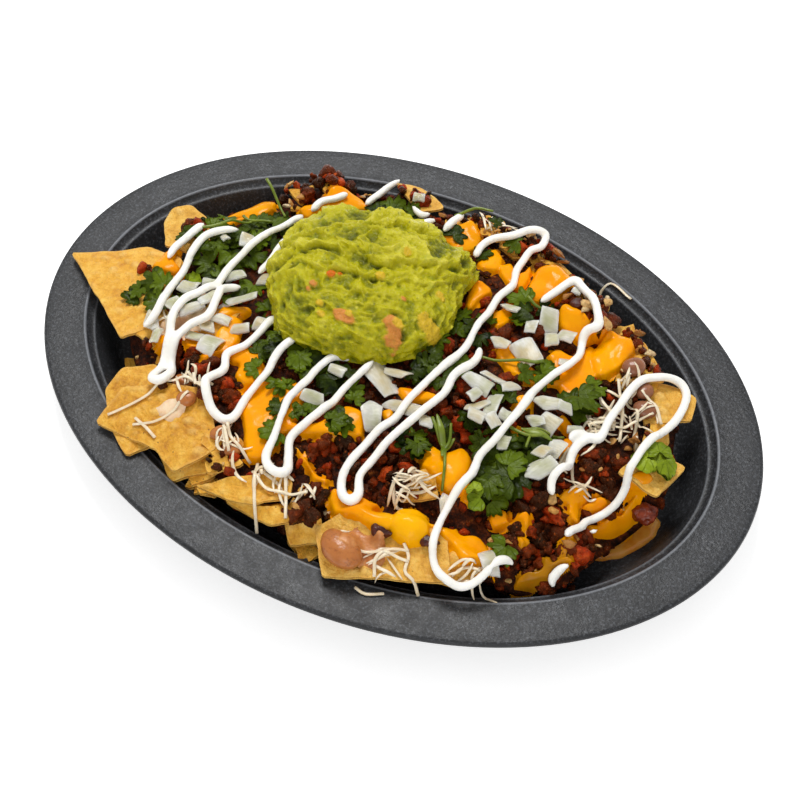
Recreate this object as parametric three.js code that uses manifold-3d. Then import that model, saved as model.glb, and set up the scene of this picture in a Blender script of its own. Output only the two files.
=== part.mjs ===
// A platter of loaded nachos: an oval rimmed platter, tortilla chips, a heaped filling with cheese
// sauce, crumbled chorizo, shredded cheese and a zigzag of crema, and loose beans, onion, cilantro
// and guacamole on top. Millimetres, +Z up. The origin is on the table under the platter's centre,
// +X runs along the platter's long axis.

import * as THREE from 'three';
import { mergeVertices } from 'three/addons/utils/BufferGeometryUtils.js';
import Module from 'manifold-3d';

const wasm = await Module();
wasm.setup();

// ---------------------------------------------------------------- driving dimensions

const PLATTER = { halfLength: 170, halfWidth: 125, height: 25, floor: 3, rimWidth: 19.2, sides: 52 };
const MOUND = { x: 4, y: -1, halfLength: 130, halfWidth: 97, crown: 41, fall: 12, lump: 1.3 };
const CORE = { share: 0.99, base: 3.4, baseShare: 0.87, shoulder: 5, sides: 40 };
const GUACAMOLE = { x: -25, y: 19, halfLength: 47, halfWidth: 40, height: 23, sides: 30 };
const CHIP = { thickness: 1.9, lift: 1.7 };
const CREMA = { radius: 2.7, sides: 6, lift: 1.7 };
const SHRED = { width: 1.7, length: 17 };
const ONION_THICKNESS = 2.8;
const LEAF_THICKNESS = 0.9;
const LEAF_EDGE = [ // half of a leaf's edge from tip to stalk: degrees from the tip, share of the radius
  [0, 1], [20, 0.8], [36, 0.45], [58, 0.8], [76, 1], [100, 0.82], [130, 0.5], [180, 0.3],
];
const CLEARANCE = 0.35; // between neighbouring pieces

// ---------------------------------------------------------------- layout on the mound, in mm

// Each chip is its corners in plan, with the lift of each above what it lies on.
const CHIPS = {
  chip_left: [[-161, -26, 1], [-131, -4, 1], [-108, -6, 1], [-93, -44, 1], [-105, -57, 1]],
  chip_left_back: [[-109, -2, 0], [-124, -1, 0], [-135, 12, 1], [-135, 20, 3], [-129, 26, 3],
    [-118, 24, 1], [-106, 14, 0]],
  chip_front_left: [[-88, -97, 1], [-87, -78, 3], [-71, -68, 2], [-50, -62, 2], [-31, -84, 2],
    [-35, -92, 3], [-42, -101, 1], [-55, -96, 1], [-64, -96, 1]],
  chip_front_left_under: [[-96, -81, 0], [-95, -68, 0], [-82, -60, 0], [-68, -70, 0],
    [-58, -90, -3], [-66, -103, -1], [-80, -96, 0]],
  chip_front_small: [[-35, -88, -1], [-27, -82, 0], [-21, -86, 0], [-28, -95, 1]],
  chip_front_middle: [[-32, -101, 1], [-20, -92, 3], [-9, -84, 1], [4, -80, 1], [8, -88, 2],
    [-3, -98, 2], [-12, -99, 0]],
  chip_front_under: [[-18, -99, -3], [8, -88, -2], [16, -94, -1], [6, -101, -2]],
  chip_front_right: [[22, -93, 1], [36, -109, 1], [63, -95, 1], [82, -85, 1], [70, -68, 1],
    [30, -80, 1]],
  chip_right_back: [[104, 44, 0], [117, 49, 1], [126, 48, 2], [129, 35, 2], [112, 21, 0]],
  chip_right: [[119, 11, 1], [137, 12, 2], [133, -8, 1], [114, -8, 0]],
  chip_back: [[-55, 92, 1], [-40, 98, 1], [-24, 89, 1], [-32, 78, 0]],
  chip_back_middle: [[-9, 86, 0], [2, 92, 1], [16, 92, 1], [10, 81, 0]],
  chip_back_right: [[52, 75, 0], [68, 70, 1], [75, 59, 1], [61, 60, 0]],
  chip_right_edge: [[83, 66, 0], [95, 61, 1], [108, 50, 1], [100, 42, 0]],
  chip_centre: [[40, -56, 1], [52, -47, 1], [60, -58, 1], [47, -67, 1]],
};

// Pools and dollops of cheese sauce: x, y, half length, half width, turn in degrees, height.
const SAUCE = [
  [-106, 39, 13, 8, 35, 3], [-76, 69, 15, 7, 25, 3], [-117, -5, 7, 9, 0, 3],
  [-58, -27, 9, 8, 20, 3], [-45, -42, 7, 10, 0, 3], [-23, -58, 10, 18, 15, 4],
  [-6, -46, 11, 10, 0, 3], [49, 17, 4, 10, 0, 3], [38, 71, 12, 12, 0, 5],
  [66, 42, 12, 18, 10, 4], [86, 50, 11, 12, 0, 6], [-7, 78, 10, 9, 0, 4],
  [11, 74, 8, 8, 0, 3], [55, -42, 11, 11, 0, 5], [34, -77, 13, 6, 10, 4],
  [55, -73, 9, 8, 0, 5], [82, -67, 9, 9, 30, 5], [86, -49, 7, 4, 40, 3],
  [108, -25, 8, 5, 20, 3], [121, -27, 8, 5, 60, 3], [109, -63, 11, 5, 25, 3],
];

// Patches of crumbled chorizo: x, y, half length, half width, number of crumbs.
const CHORIZO = [
  [-83, 75, 13, 7, 5], [-100, 54, 7, 4, 2], [-115, -22, 6, 5, 2], [-59, -55, 14, 8, 6],
  [-45, -60, 7, 9, 3], [18, -62, 20, 12, 10], [21, 46, 7, 14, 4], [28, 87, 10, 5, 2],
  [67, 60, 7, 6, 2], [38, -12, 8, 14, 3], [107, -7, 8, 11, 4], [101, -46, 16, 16, 12],
  [70, -59, 8, 4, 1], [38, 8, 8, 14, 4], [67, -4, 8, 8, 2], [-60, 87, 8, 5, 2],
];

// Bundles of shredded cheese: x, y, spread, number of shreds.
const SHREDS = [
  [-8, -88, 12, 4], [50, -56, 9, 4], [56, -85, 11, 3], [106, 20, 12, 9], [-62, -76, 10, 2],
  [80, -77, 7, 2],
];

// The crema's zigzag, each run as points in plan.
const CREMA_RUNS = [
  [[-112, -12], [-114, -5], [-112, 4], [-110, 13]],
  [[-95, 20], [-105, 7], [-104, -4], [-100, -27], [-95, -45], [-97, -51]],
  [[-79, 48], [-81, 29], [-85, 5], [-84, -18], [-88, -32], [-82, -50], [-77, -65], [-72, -70],
    [-71, -63], [-77, -52], [-77, -38], [-75, -20], [-76, -9]],
  [[-74, 29], [-72, 11], [-71, 1]],
  [[-48, -15], [-50, -27], [-54, -43], [-51, -58], [-44, -70], [-36, -72], [-34, -62], [-35, -44],
    [-35, -32], [-32, -24]],
  [[-8, -21], [-14, -24], [-16, -40], [-17, -54], [-12, -72], [-5, -83], [1, -80], [-4, -71],
    [-5, -56], [-1, -36], [2, -18]],
  [[6, 64], [7, 77], [16, 84], [25, 93], [29, 87], [26, 72], [30, 54], [31, 30], [31, 4],
    [27, -20], [22, -46], [21, -64], [26, -77], [32, -75], [28, -62], [30, -44], [36, -18],
    [38, 0], [38, 13]],
  [[46, 54], [50, 66], [57, 70], [66, 63], [74, 50], [73, 28], [68, 6], [67, -24], [65, -44],
    [66, -68], [74, -84], [85, -86], [93, -76], [98, -67]],
  [[98, -35], [95, -26], [96, -8], [101, 4], [101, 28], [106, 43], [116, 49], [123, 41],
    [121, 16], [118, -4], [122, -18], [115, -32], [111, -44]],
  [[-14, 70], [-14, 80], [-12, 88]],
  [[-57, 69], [-57, 80], [-52, 92]],
  [[-74, 52], [-74, 60], [-66, 69]],
];

// Beans and dark pepper pieces: x, y, half length, half width, turn in degrees.
const BEANS = {
  bean_right: [96, 44, 5.5, 4.5, 60], bean_right_lower: [110, 28, 5, 4.2, 20],
  bean_left: [-66, -63, 4.6, 4, 0], bean_front: [-26, -81, 4.2, 3.4, 50],
  bean_mash: [38, -94, 10, 6.5, -25], bean_far_right: [131, -14, 5.5, 4.5, 30],
  pepper_front: [48, -83, 3.6, 3.2, 0],
};

// Onion pieces: x, y, length, width, turn in degrees.
const ONIONS = [
  [-93, -19, 9, 10, 10], [-64, -15, 17, 7, 20], [-70, -40, 10, 12, 30], [-79, -3, 10, 7, 45],
  [8, -19, 18, 12, -20], [17, -26, 19, 8, -15], [13, -38, 9, 15, 20], [54, 25, 15, 11, -35],
  [53, 50, 8, 15, 25], [47, 2, 14, 9, -15], [56, -12, 9, 15, 20], [78, 6, 13, 8, 10],
  [88, -11, 6, 13, 5], [88, -27, 8, 14, -15], [76, -4, 14, 9, -20],
];

// Cilantro leaves: x, y, radius, turn in degrees.
const LEAVES = [
  [-110, -30, 10, 200], [-95, 36, 10, 60], [-96, -2, 9, 120], [-46, -24, 7, 250],
  [-27, -30, 8, 300], [-19, -66, 6, 230], [5, -48, 7, 270], [42, 43, 8, 240], [22, -7, 9, 10],
  [85, 14, 9, 90], [67, 20, 6, 110], [81, -17, 8, 0], [76, -37, 12, 200], [41, -43, 6, 320],
  [-47, 79, 8, 80],
];

// The puddle of thin sauce on the platter's floor at the right-hand end.
const PUDDLE = { x: 119.5, y: -13, halfLength: 8, halfWidth: 13, depth: 1.1 };

// ---------------------------------------------------------------- shared helpers

/** A repeatable random number generator, 0 to 1. */
function seeded(seed) {
  let state = seed >>> 0;
  return () => {
    state = (state + 0x6d2b79f5) >>> 0;
    let t = state;
    t = Math.imul(t ^ (t >>> 15), t | 1);
    t ^= t + Math.imul(t ^ (t >>> 7), t | 61);
    return ((t ^ (t >>> 14)) >>> 0) / 4294967296;
  };
}

const radians = (degrees) => (degrees * Math.PI) / 180;
const mix = (a, b, t) => a + (b - a) * t;

/** The filling's smooth upper surface, before anything lies on it. */
function mound(x, y) {
  const u = (x - MOUND.x) / MOUND.halfLength;
  const v = (y - MOUND.y) / MOUND.halfWidth;
  const lumps = Math.sin(0.11 * x + 1.3) * Math.cos(0.13 * y + 0.4);
  return MOUND.crown - MOUND.fall * (u * u + v * v) + MOUND.lump * lumps;
}

/** What a chip lies on: the mound, or the platter's rim outside it. */
const bed = (x, y) => Math.max(mound(x, y), PLATTER.height + 0.6);

/** Turns a three.js geometry into a manifold solid, with shared vertices merged. */
function toSolid(geometry) {
  const bare = geometry.clone();
  bare.deleteAttribute('normal');
  bare.deleteAttribute('uv');
  const merged = mergeVertices(bare, 1e-4);
  return new wasm.Manifold(new wasm.Mesh({
    numProp: 3,
    vertProperties: new Float32Array(merged.attributes.position.array),
    triVerts: new Uint32Array(merged.index.array),
  }));
}

/** Turns a manifold solid back into a three.js geometry. */
function toGeometry(solid) {
  const mesh = solid.getMesh();
  const geometry = new THREE.BufferGeometry();
  geometry.setAttribute('position', new THREE.BufferAttribute(mesh.vertProperties, 3));
  geometry.setIndex(new THREE.BufferAttribute(mesh.triVerts, 1));
  geometry.computeVertexNormals();
  return geometry;
}

/** The largest separate body of a solid, so that no loose scrap stays. */
const largest = (solid) => solid.decompose().reduce((a, b) => (b.volume() > a.volume() ? b : a));

/** Cuts a solid clear of others and keeps its largest body. */
function clearOf(solid, others) {
  let result = solid;
  for (const other of others) {
    result = result.subtract(other);
  }
  return largest(result);
}

/**
 * A closed slab over a star-shaped outline: an upper and a lower face of rings round the centre, and
 * a side wall. grow moves every face outwards; base narrows the lower face.
 */
function slab({ centre, outline, top, bottom, rings, lowerRings = rings, base = 1, grow = 0 }) {
  const count = outline.length;
  const positions = [];
  const indices = [];
  const addRing = (share, height, offset, narrowing) => {
    for (const corner of outline) {
      const reach = Math.hypot(corner.x - centre.x, corner.y - centre.y);
      const scale = share * narrowing * (1 + (1.3 * grow) / reach);
      const x = centre.x + (corner.x - centre.x) * scale;
      const y = centre.y + (corner.y - centre.y) * scale;
      positions.push(x, y, height(x, y, share) + offset);
    }
  };
  const addFace = (height, offset, ringCount, narrowing, upward) => {
    const hub = positions.length / 3;
    positions.push(centre.x, centre.y, height(centre.x, centre.y, 0) + offset);
    for (let ring = 1; ring <= ringCount; ring += 1) {
      addRing(ring / ringCount, height, offset, narrowing);
    }
    const push = (i, j, k) => (upward ? indices.push(i, j, k) : indices.push(i, k, j));
    for (let i = 0; i < count; i += 1) {
      const next = (i + 1) % count;
      push(hub, hub + 1 + i, hub + 1 + next);
      for (let ring = 1; ring < ringCount; ring += 1) {
        const inner = hub + 1 + (ring - 1) * count;
        const outer = inner + count;
        push(inner + i, outer + i, outer + next);
        push(inner + i, outer + next, inner + next);
      }
    }
    return hub + 1 + (ringCount - 1) * count;
  };
  const topEdge = addFace(top, grow, rings, 1, true);
  const bottomEdge = addFace(bottom, -grow, lowerRings, base, false);
  for (let i = 0; i < count; i += 1) {
    const next = (i + 1) % count;
    indices.push(topEdge + i, bottomEdge + i, bottomEdge + next);
    indices.push(topEdge + i, bottomEdge + next, topEdge + next);
  }
  const geometry = new THREE.BufferGeometry();
  geometry.setAttribute('position', new THREE.Float32BufferAttribute(positions, 3));
  geometry.setIndex(indices);
  return geometry;
}

/** An ellipse's outline, turned by some degrees, with an optional ripple of its radius. */
function ellipse(centre, halfLength, halfWidth, turn, sides, ripple = () => 1) {
  const points = [];
  for (let i = 0; i < sides; i += 1) {
    const angle = (2 * Math.PI * i) / sides;
    const reach = ripple(angle);
    const point = new THREE.Vector2(halfLength * reach * Math.cos(angle), halfWidth * reach * Math.sin(angle));
    points.push(point.rotateAround(new THREE.Vector2(), radians(turn)).add(centre));
  }
  return points;
}

// ---------------------------------------------------------------- platter

/** The platter's half section as [distance in from the outer edge, height], from below to above. */
function platterSection() {
  const { halfLength, height, floor, rimWidth } = PLATTER;
  const section = [
    [halfLength, 0], [31, 0], [26.5, 3.2], [rimWidth - 1, height - 3.4], [0.7, height - 3],
    [0, height - 1.6], [1, height], [rimWidth, height - 0.6], [rimWidth + 1.6, height - 1.4],
    [22.5, height - 4.5], [30.5, floor + 3], [37, floor], [halfLength, floor],
  ];
  return section.map(([inset, z]) => new THREE.Vector2(halfLength - inset, z));
}

/** A lathe of the section, drawn in sideways so that the rim is equally wide all round. */
function platterGeometry() {
  const geometry = new THREE.LatheGeometry(platterSection(), PLATTER.sides);
  geometry.rotateX(Math.PI / 2);
  const position = geometry.attributes.position;
  const narrowing = PLATTER.halfLength - PLATTER.halfWidth;
  const innermost = PLATTER.halfLength - 37;
  for (let i = 0; i < position.count; i += 1) {
    const radius = Math.hypot(position.getX(i), position.getY(i));
    const share = 1 - narrowing / Math.max(radius, innermost);
    position.setY(i, position.getY(i) * share);
  }
  return toGeometry(toSolid(geometry));
}

// ---------------------------------------------------------------- chips

/** Outline of a chip with its long edges split, and a height for each point of it. */
function chipOutline(corners) {
  const points = [];
  corners.forEach(([x, y, lift], i) => {
    const [nextX, nextY, nextLift] = corners[(i + 1) % corners.length];
    const pieces = Math.max(1, Math.round(Math.hypot(nextX - x, nextY - y) / 22));
    for (let k = 0; k < pieces; k += 1) {
      const t = k / pieces;
      const point = new THREE.Vector2(mix(x, nextX, t), mix(y, nextY, t));
      point.rise = CHIP.lift + mix(bed(x, y) + lift, bed(nextX, nextY) + nextLift, t);
      points.push(point);
    }
  });
  return points;
}

/** A chip's middle surface: a shallow dish over its outline, found along the ray from its centre. */
function chipSurface(corners) {
  const outline = chipOutline(corners);
  const centre = new THREE.Vector2();
  outline.forEach((point) => centre.addScaledVector(point, 1 / outline.length));
  const edgeMean = outline.reduce((sum, point) => sum + point.rise, 0) / outline.length;
  const hub = Math.max(edgeMean, bed(centre.x, centre.y) + CHIP.lift);
  const height = (x, y) => {
    const dx = x - centre.x;
    const dy = y - centre.y;
    for (let i = 0; i < outline.length; i += 1) {
      const a = outline[i];
      const b = outline[(i + 1) % outline.length];
      const ax = a.x - centre.x;
      const ay = a.y - centre.y;
      const bx = b.x - centre.x;
      const by = b.y - centre.y;
      const area = ax * by - ay * bx;
      const s = (dx * by - dy * bx) / area;
      const t = (ax * dy - ay * dx) / area;
      if (s >= -1e-9 && t >= -1e-9) {
        const inside = s + t <= 1.03;
        const edge = s + t > 1e-9 ? (s * a.rise + t * b.rise) / (s + t) : hub;
        return { z: mix(hub, edge, Math.min(s + t, 1.2)), inside };
      }
    }
    return { z: hub, inside: true };
  };
  return { outline, centre, height };
}

const chipSurfaces = Object.fromEntries(
  Object.entries(CHIPS).map(([name, corners]) => [name, chipSurface(corners)]),
);

function chipGeometry(name, grow = 0) {
  const { outline, centre, height } = chipSurfaces[name];
  const turnsLeft = THREE.ShapeUtils.area(outline) > 0;
  const ordered = turnsLeft ? outline : [...outline].reverse();
  const half = CHIP.thickness / 2;
  const top = (x, y) => height(x, y).z + half;
  const bottom = (x, y) => height(x, y).z - half;
  return slab({ centre, outline: ordered, top, bottom, rings: 2, grow });
}

// ---------------------------------------------------------------- what lies on what

/** The highest chip at a point, as its name and the height of its upper face. */
function chipAt(x, y) {
  const hits = Object.entries(chipSurfaces)
    .map(([name, surface]) => ({ name, ...surface.height(x, y) }))
    .filter((hit) => hit.inside)
    .map(({ name, z }) => ({ name, z: z + CHIP.thickness / 2 }));
  return hits.reduce((a, b) => (b.z > a.z ? b : a), { name: 'nacho_heap', z: mound(x, y) });
}

/** How far a pool of sauce stands above what it lies on, at a point. */
function sauceDepth(x, y, [cx, cy, halfLength, halfWidth, turn, height]) {
  const local = new THREE.Vector2(x - cx, y - cy).rotateAround(new THREE.Vector2(), -radians(turn));
  const reach = (local.x / halfLength) ** 2 + (local.y / halfWidth) ** 2;
  return height * Math.max(0, 1 - reach) ** 0.6;
}

/** Height of the surface that toppings lie on: the mound or a chip, with its sauce. */
function support(x, y) {
  return chipAt(x, y).z + Math.max(...SAUCE.map((pool) => sauceDepth(x, y, pool)));
}

/** How far above the mound a piece lies, so that it clears everything under its points. */
function restOf(points) {
  const steps = points.map((point) => support(point.x, point.y) - mound(point.x, point.y));
  return Math.max(...steps) + 2 * CLEARANCE;
}

// ---------------------------------------------------------------- guacamole

function guacamoleGeometry(grow = 0) {
  const { x: cx, y: cy, halfLength, halfWidth, height, sides } = GUACAMOLE;
  const centre = new THREE.Vector2(cx, cy);
  const ripple = (angle) => 1 + 0.04 * Math.sin(3 * angle + 1) + 0.025 * Math.sin(7 * angle);
  const outline = ellipse(centre, halfLength, halfWidth, 0, sides, ripple);
  const top = (x, y, share) => {
    const dome = (1 - share ** 3) ** 0.6;
    const angle = Math.atan2(y - cy, x - cx);
    const swirl = 1.6 * Math.sin(9 * share + 2 * angle) * share * (1 - share ** 6);
    const ridge = 1.1 * Math.sin(0.33 * x + 0.21 * y) * (1 - share ** 4);
    return mound(x, y) + 1.4 + height * dome + swirl + ridge;
  };
  const bottom = (x, y) => mound(x, y) + 3 * CLEARANCE;
  return slab({ centre, outline, top, bottom, rings: 6, lowerRings: 2, grow });
}

// ---------------------------------------------------------------- loose toppings

function beanGeometry([x, y, halfLength, halfWidth, turn], grow = 0) {
  const geometry = new THREE.SphereGeometry(1, 8, 5);
  const thickness = 0.72 * halfWidth;
  geometry.scale(halfLength + grow, halfWidth + grow, thickness + grow);
  geometry.rotateZ(radians(turn));
  geometry.translate(x, y, support(x, y) + thickness + 2 * CLEARANCE);
  return geometry;
}

/** An onion piece: a four-sided slab, curved along its length as a layer of the bulb is. */
function onionGeometry([x, y, length, width, turn], grow = 0) {
  const centre = new THREE.Vector2(x, y);
  const corners = [[0.5, 0.42], [0.02, 0.5], [-0.5, 0.36], [-0.46, -0.44], [0.05, -0.5], [0.47, -0.3]];
  const along = new THREE.Vector2(1, 0).rotateAround(new THREE.Vector2(), radians(turn));
  const outline = corners.map(([u, v]) => new THREE.Vector2(u * length, v * width)
    .rotateAround(new THREE.Vector2(), radians(turn)).add(centre));
  const rest = restOf([centre, ...outline]);
  const middle = (px, py) => {
    const u = ((px - x) * along.x + (py - y) * along.y) / length;
    return mound(px, py) + rest + 1 - 4 * u * u;
  };
  const top = (px, py) => middle(px, py) + ONION_THICKNESS;
  return slab({ centre, outline, top, bottom: middle, rings: 2, grow });
}

/** A cilantro leaf: three toothed lobes, thin and wavy. */
function leafGeometry([x, y, radius, turn], grow = 0) {
  const centre = new THREE.Vector2(x, y);
  const half = LEAF_THICKNESS / 2;
  const right = LEAF_EDGE.slice(1, -1).map(([angle, reach]) => [-angle, reach]).reverse();
  const outline = [...LEAF_EDGE, ...right].map(([angle, reach]) => (
    new THREE.Vector2(radius * reach, 0).rotateAround(new THREE.Vector2(), radians(angle + turn)).add(centre)));
  const rest = restOf([centre, ...outline]);
  const wave = (px, py, share) => {
    const angle = Math.atan2(py - y, px - x);
    return mound(px, py) + rest + half + share * (1.1 + 1.1 * Math.sin(3 * angle + x));
  };
  const top = (px, py, share) => wave(px, py, share) + half;
  const bottom = (px, py, share) => wave(px, py, share) - half;
  return slab({ centre, outline, top, bottom, rings: 1, grow });
}

function puddleGeometry(grow = 0) {
  const { x, y, halfLength, halfWidth, depth } = PUDDLE;
  const centre = new THREE.Vector2(x, y);
  const outline = ellipse(centre, halfLength, halfWidth, 8, 14, (angle) => 1 + 0.05 * Math.sin(4 * angle));
  const bottom = PLATTER.floor + CLEARANCE;
  const top = (px, py, share) => bottom + depth - 0.5 * share;
  return slab({ centre, outline, top, bottom: () => bottom, rings: 1, grow });
}

// ---------------------------------------------------------------- the heap and what is fused to it

/** The filling itself: a lumpy disc that fills the platter's well and narrows to the floor. */
function heapCore() {
  const { x, y, halfLength, halfWidth } = MOUND;
  const centre = new THREE.Vector2(x, y);
  const ripple = (angle) => 1 + 0.012 * Math.sin(9 * angle) + 0.01 * Math.sin(14 * angle + 1);
  const outline = ellipse(centre, CORE.share * halfLength, CORE.share * halfWidth, 0, CORE.sides, ripple);
  const top = (px, py, share) => mound(px, py) - CORE.shoulder * share ** 14;
  return toSolid(slab({
    centre, outline, top, bottom: () => CORE.base, rings: 6, lowerRings: 1, base: CORE.baseShare,
  }));
}

/** A pool of sauce, bedded a little in what it lies on. */
function sauceGeometry(pool) {
  const [x, y, halfLength, halfWidth, turn] = pool;
  const centre = new THREE.Vector2(x, y);
  const outline = ellipse(centre, halfLength, halfWidth, turn, 9, (angle) => 1 + 0.06 * Math.sin(3 * angle + x));
  const top = (px, py, share) => chipAt(px, py).z + sauceDepth(px, py, pool) - 0.8 * share ** 4;
  const bottom = (px, py) => chipAt(px, py).z - 1.5;
  return slab({ centre, outline, top, bottom, rings: 2, lowerRings: 1 });
}

/** Whether a crumb or shred here would run into crema, onion, a leaf or a bean. */
function crowded(x, y, margin) {
  const blocked = TOPPINGS.some((item) => Math.hypot(item.x - x, item.y - y) < item.radius + margin);
  return blocked || cremaDistance(x, y) < CREMA.radius + margin;
}

/** Crumbs of one patch, each a rough lump bedded in the surface. */
function crumbGeometries([x, y, halfLength, halfWidth, count], random) {
  const geometries = [];
  for (let i = 0; i < count; i += 1) {
    const angle = 2.4 * i + random();
    const reach = Math.sqrt((i + 0.5) / count);
    const px = x + halfLength * reach * Math.cos(angle);
    const py = y + halfWidth * reach * Math.sin(angle);
    const size = mix(2.8, 4.2, random());
    const geometry = new THREE.IcosahedronGeometry(size, 0);
    geometry.scale(1, mix(0.7, 1, random()), 0.8);
    geometry.rotateX(6 * random());
    geometry.rotateZ(6 * random());
    geometry.translate(px, py, support(px, py) + 1.4);
    if (!crowded(px, py, 0.5 * size)) {
      geometries.push({ x: px, y: py, geometry });
    }
  }
  return geometries;
}

/** Shreds of one bundle: short square strips, bent a little, lying across each other. */
function shredGeometries([x, y, spread, count], random) {
  const geometries = [];
  const half = SHRED.width / 2;
  const section = new THREE.Shape([
    new THREE.Vector2(-half, -half), new THREE.Vector2(half, -half),
    new THREE.Vector2(half, half), new THREE.Vector2(-half, half),
  ]);
  for (let i = 0; i < count; i += 1) {
    const turn = 2 * Math.PI * random();
    const px = x + spread * (random() - 0.5) * 1.6;
    const py = y + spread * (random() - 0.5) * 1.6;
    const bend = 5 * (random() - 0.5);
    const points = [-0.5, 0, 0.5].map((t) => {
      const qx = px + t * SHRED.length * Math.cos(turn) - bend * (0.25 - t * t) * Math.sin(turn);
      const qy = py + t * SHRED.length * Math.sin(turn) + bend * (0.25 - t * t) * Math.cos(turn);
      return new THREE.Vector3(qx, qy, support(qx, qy) + 0.4);
    });
    const path = new THREE.QuadraticBezierCurve3(...points);
    const geometry = new THREE.ExtrudeGeometry(section, { steps: 2, extrudePath: path, bevelEnabled: false });
    if (!crowded(px, py, 1)) {
      geometries.push({ x: px, y: py, geometry });
    }
  }
  return geometries;
}

/** A curve whose sections fall on its own control points, however far apart they are. */
class BeadPath extends THREE.CatmullRomCurve3 {
  getUtoTmapping(u) {
    return u;
  }
}

/** One run of crema: a round bead laid on the mound, over the chips and the small pieces. */
function cremaGeometry(points) {
  const { radius, sides, lift } = CREMA;
  const clear = radius + 2 * CLEARANCE;
  const path = new BeadPath(points.map(([x, y]) => {
    const under = chipAt(x, y);
    const above = TOPPINGS
      .filter((item) => Math.hypot(item.x - x, item.y - y) < item.radius)
      .map((item) => item.top + clear);
    const onChip = under.name === 'nacho_heap' ? lift : clear;
    return new THREE.Vector3(x, y, Math.max(support(x, y) + onChip, ...above));
  }), false, 'centripetal');
  const section = new THREE.Shape(ellipse(new THREE.Vector2(), radius, radius, 0, sides));
  const steps = points.length - 1;
  return new THREE.ExtrudeGeometry(section, { steps, extrudePath: path, bevelEnabled: false });
}

/** Distance in plan from a point to the nearest run of crema. */
function cremaDistance(x, y) {
  const point = new THREE.Vector3(x, y, 0);
  const nearest = new THREE.Vector3();
  const distances = CREMA_RUNS.flatMap((run) => run.slice(1).map(([bx, by], i) => {
    const [ax, ay] = run[i];
    const line = new THREE.Line3(new THREE.Vector3(ax, ay, 0), new THREE.Vector3(bx, by, 0));
    return line.closestPointToPoint(point, true, nearest).distanceTo(point);
  }));
  return Math.min(...distances);
}

// ---------------------------------------------------------------- the whole platter

/** Circle and top of each small piece that the crema rides over and the crumbs keep clear of. */
const TOPPINGS = [
  ...ONIONS.map(([x, y, length, width]) => (
    { x, y, radius: Math.max(length, width) / 2, top: support(x, y) + ONION_THICKNESS + 1 })),
  ...LEAVES.map(([x, y, radius]) => ({ x, y, radius: 0.8 * radius, top: support(x, y) + 3.4 })),
  ...Object.values(BEANS).map(([x, y, halfLength, halfWidth]) => (
    { x, y, radius: halfLength, top: support(x, y) + 1.4 * halfWidth })),
];

/** Everything small or poured, listed under the name of the piece that it is fused to. */
function fusedPieces() {
  const random = seeded(7);
  const small = [
    ...SAUCE.map((pool) => ({ x: pool[0], y: pool[1], geometry: sauceGeometry(pool) })),
    ...CHORIZO.flatMap((patch) => crumbGeometries(patch, random)),
    ...SHREDS.flatMap((bundle) => shredGeometries(bundle, random)),
  ];
  const byCarrier = { nacho_heap: CREMA_RUNS.map((run) => toSolid(cremaGeometry(run))) };
  for (const { x, y, geometry } of small) {
    const { name } = chipAt(x, y);
    byCarrier[name] = [...(byCarrier[name] ?? []), toSolid(geometry)];
  }
  return byCarrier;
}

const finish = (color, roughness) => new THREE.MeshStandardMaterial({ color, roughness, metalness: 0 });

const MATERIALS = {
  platter: finish(0x55575b, 0.6),
  chip: finish(0xdda955, 0.8),
  heap: finish(0xb5622a, 0.5),
  guacamole: finish(0xa3ab35, 0.5),
  bean: finish(0x8f5a44, 0.4),
  onion: finish(0xe9e6d2, 0.3),
  cilantro: finish(0x2f5a22, 0.5),
  puddle: finish(0xb9692f, 0.2),
};

function named(name, geometry, material) {
  const mesh = new THREE.Mesh(geometry, material);
  mesh.name = name;
  return mesh;
}

const fused = fusedPieces();

/** Every separate piece with its exact solid and its grown one, in the order they are cut. */
function separatePieces() {
  const made = [];
  const add = (name, material, make) => {
    const whole = wasm.Manifold.union([toSolid(make(0)), ...(fused[name] ?? [])]);
    const solid = clearOf(whole, made.map((piece) => piece.grown));
    const grown = wasm.Manifold.union([toSolid(make(CLEARANCE)), ...(fused[name] ?? [])]);
    made.push({ name, material, solid, grown });
  };
  add('guacamole', MATERIALS.guacamole, guacamoleGeometry);
  for (const [name, bean] of Object.entries(BEANS)) {
    add(name, MATERIALS.bean, (grow) => beanGeometry(bean, grow));
  }
  ONIONS.forEach((onion, i) => {
    add(`onion_${i + 1}`, MATERIALS.onion, (grow) => onionGeometry(onion, grow));
  });
  LEAVES.forEach((leaf, i) => {
    add(`cilantro_${i + 1}`, MATERIALS.cilantro, (grow) => leafGeometry(leaf, grow));
  });
  for (const name of Object.keys(CHIPS)) {
    add(name, MATERIALS.chip, (grow) => chipGeometry(name, grow));
  }
  add('sauce_puddle', MATERIALS.puddle, puddleGeometry);
  return made;
}

const platterOfNachos = new THREE.Group();
const pieces = separatePieces();
const heap = clearOf(
  wasm.Manifold.union([heapCore(), ...fused.nacho_heap]),
  pieces.map((piece) => piece.grown),
);
platterOfNachos.add(named('platter', platterGeometry(), MATERIALS.platter));
platterOfNachos.add(named('nacho_heap', toGeometry(heap), MATERIALS.heap));
for (const { name, solid, material } of pieces) {
  platterOfNachos.add(named(name, toGeometry(solid), material));
}

export default platterOfNachos;
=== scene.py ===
"""Loaded nachos on an oval platter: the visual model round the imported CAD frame.

Shapes are worked out in millimetres, in the row frame, and written to Blender in metres. Each layer of
food is laid on a height map of everything below it, so that it rests on what carries it.
"""

import math

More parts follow.
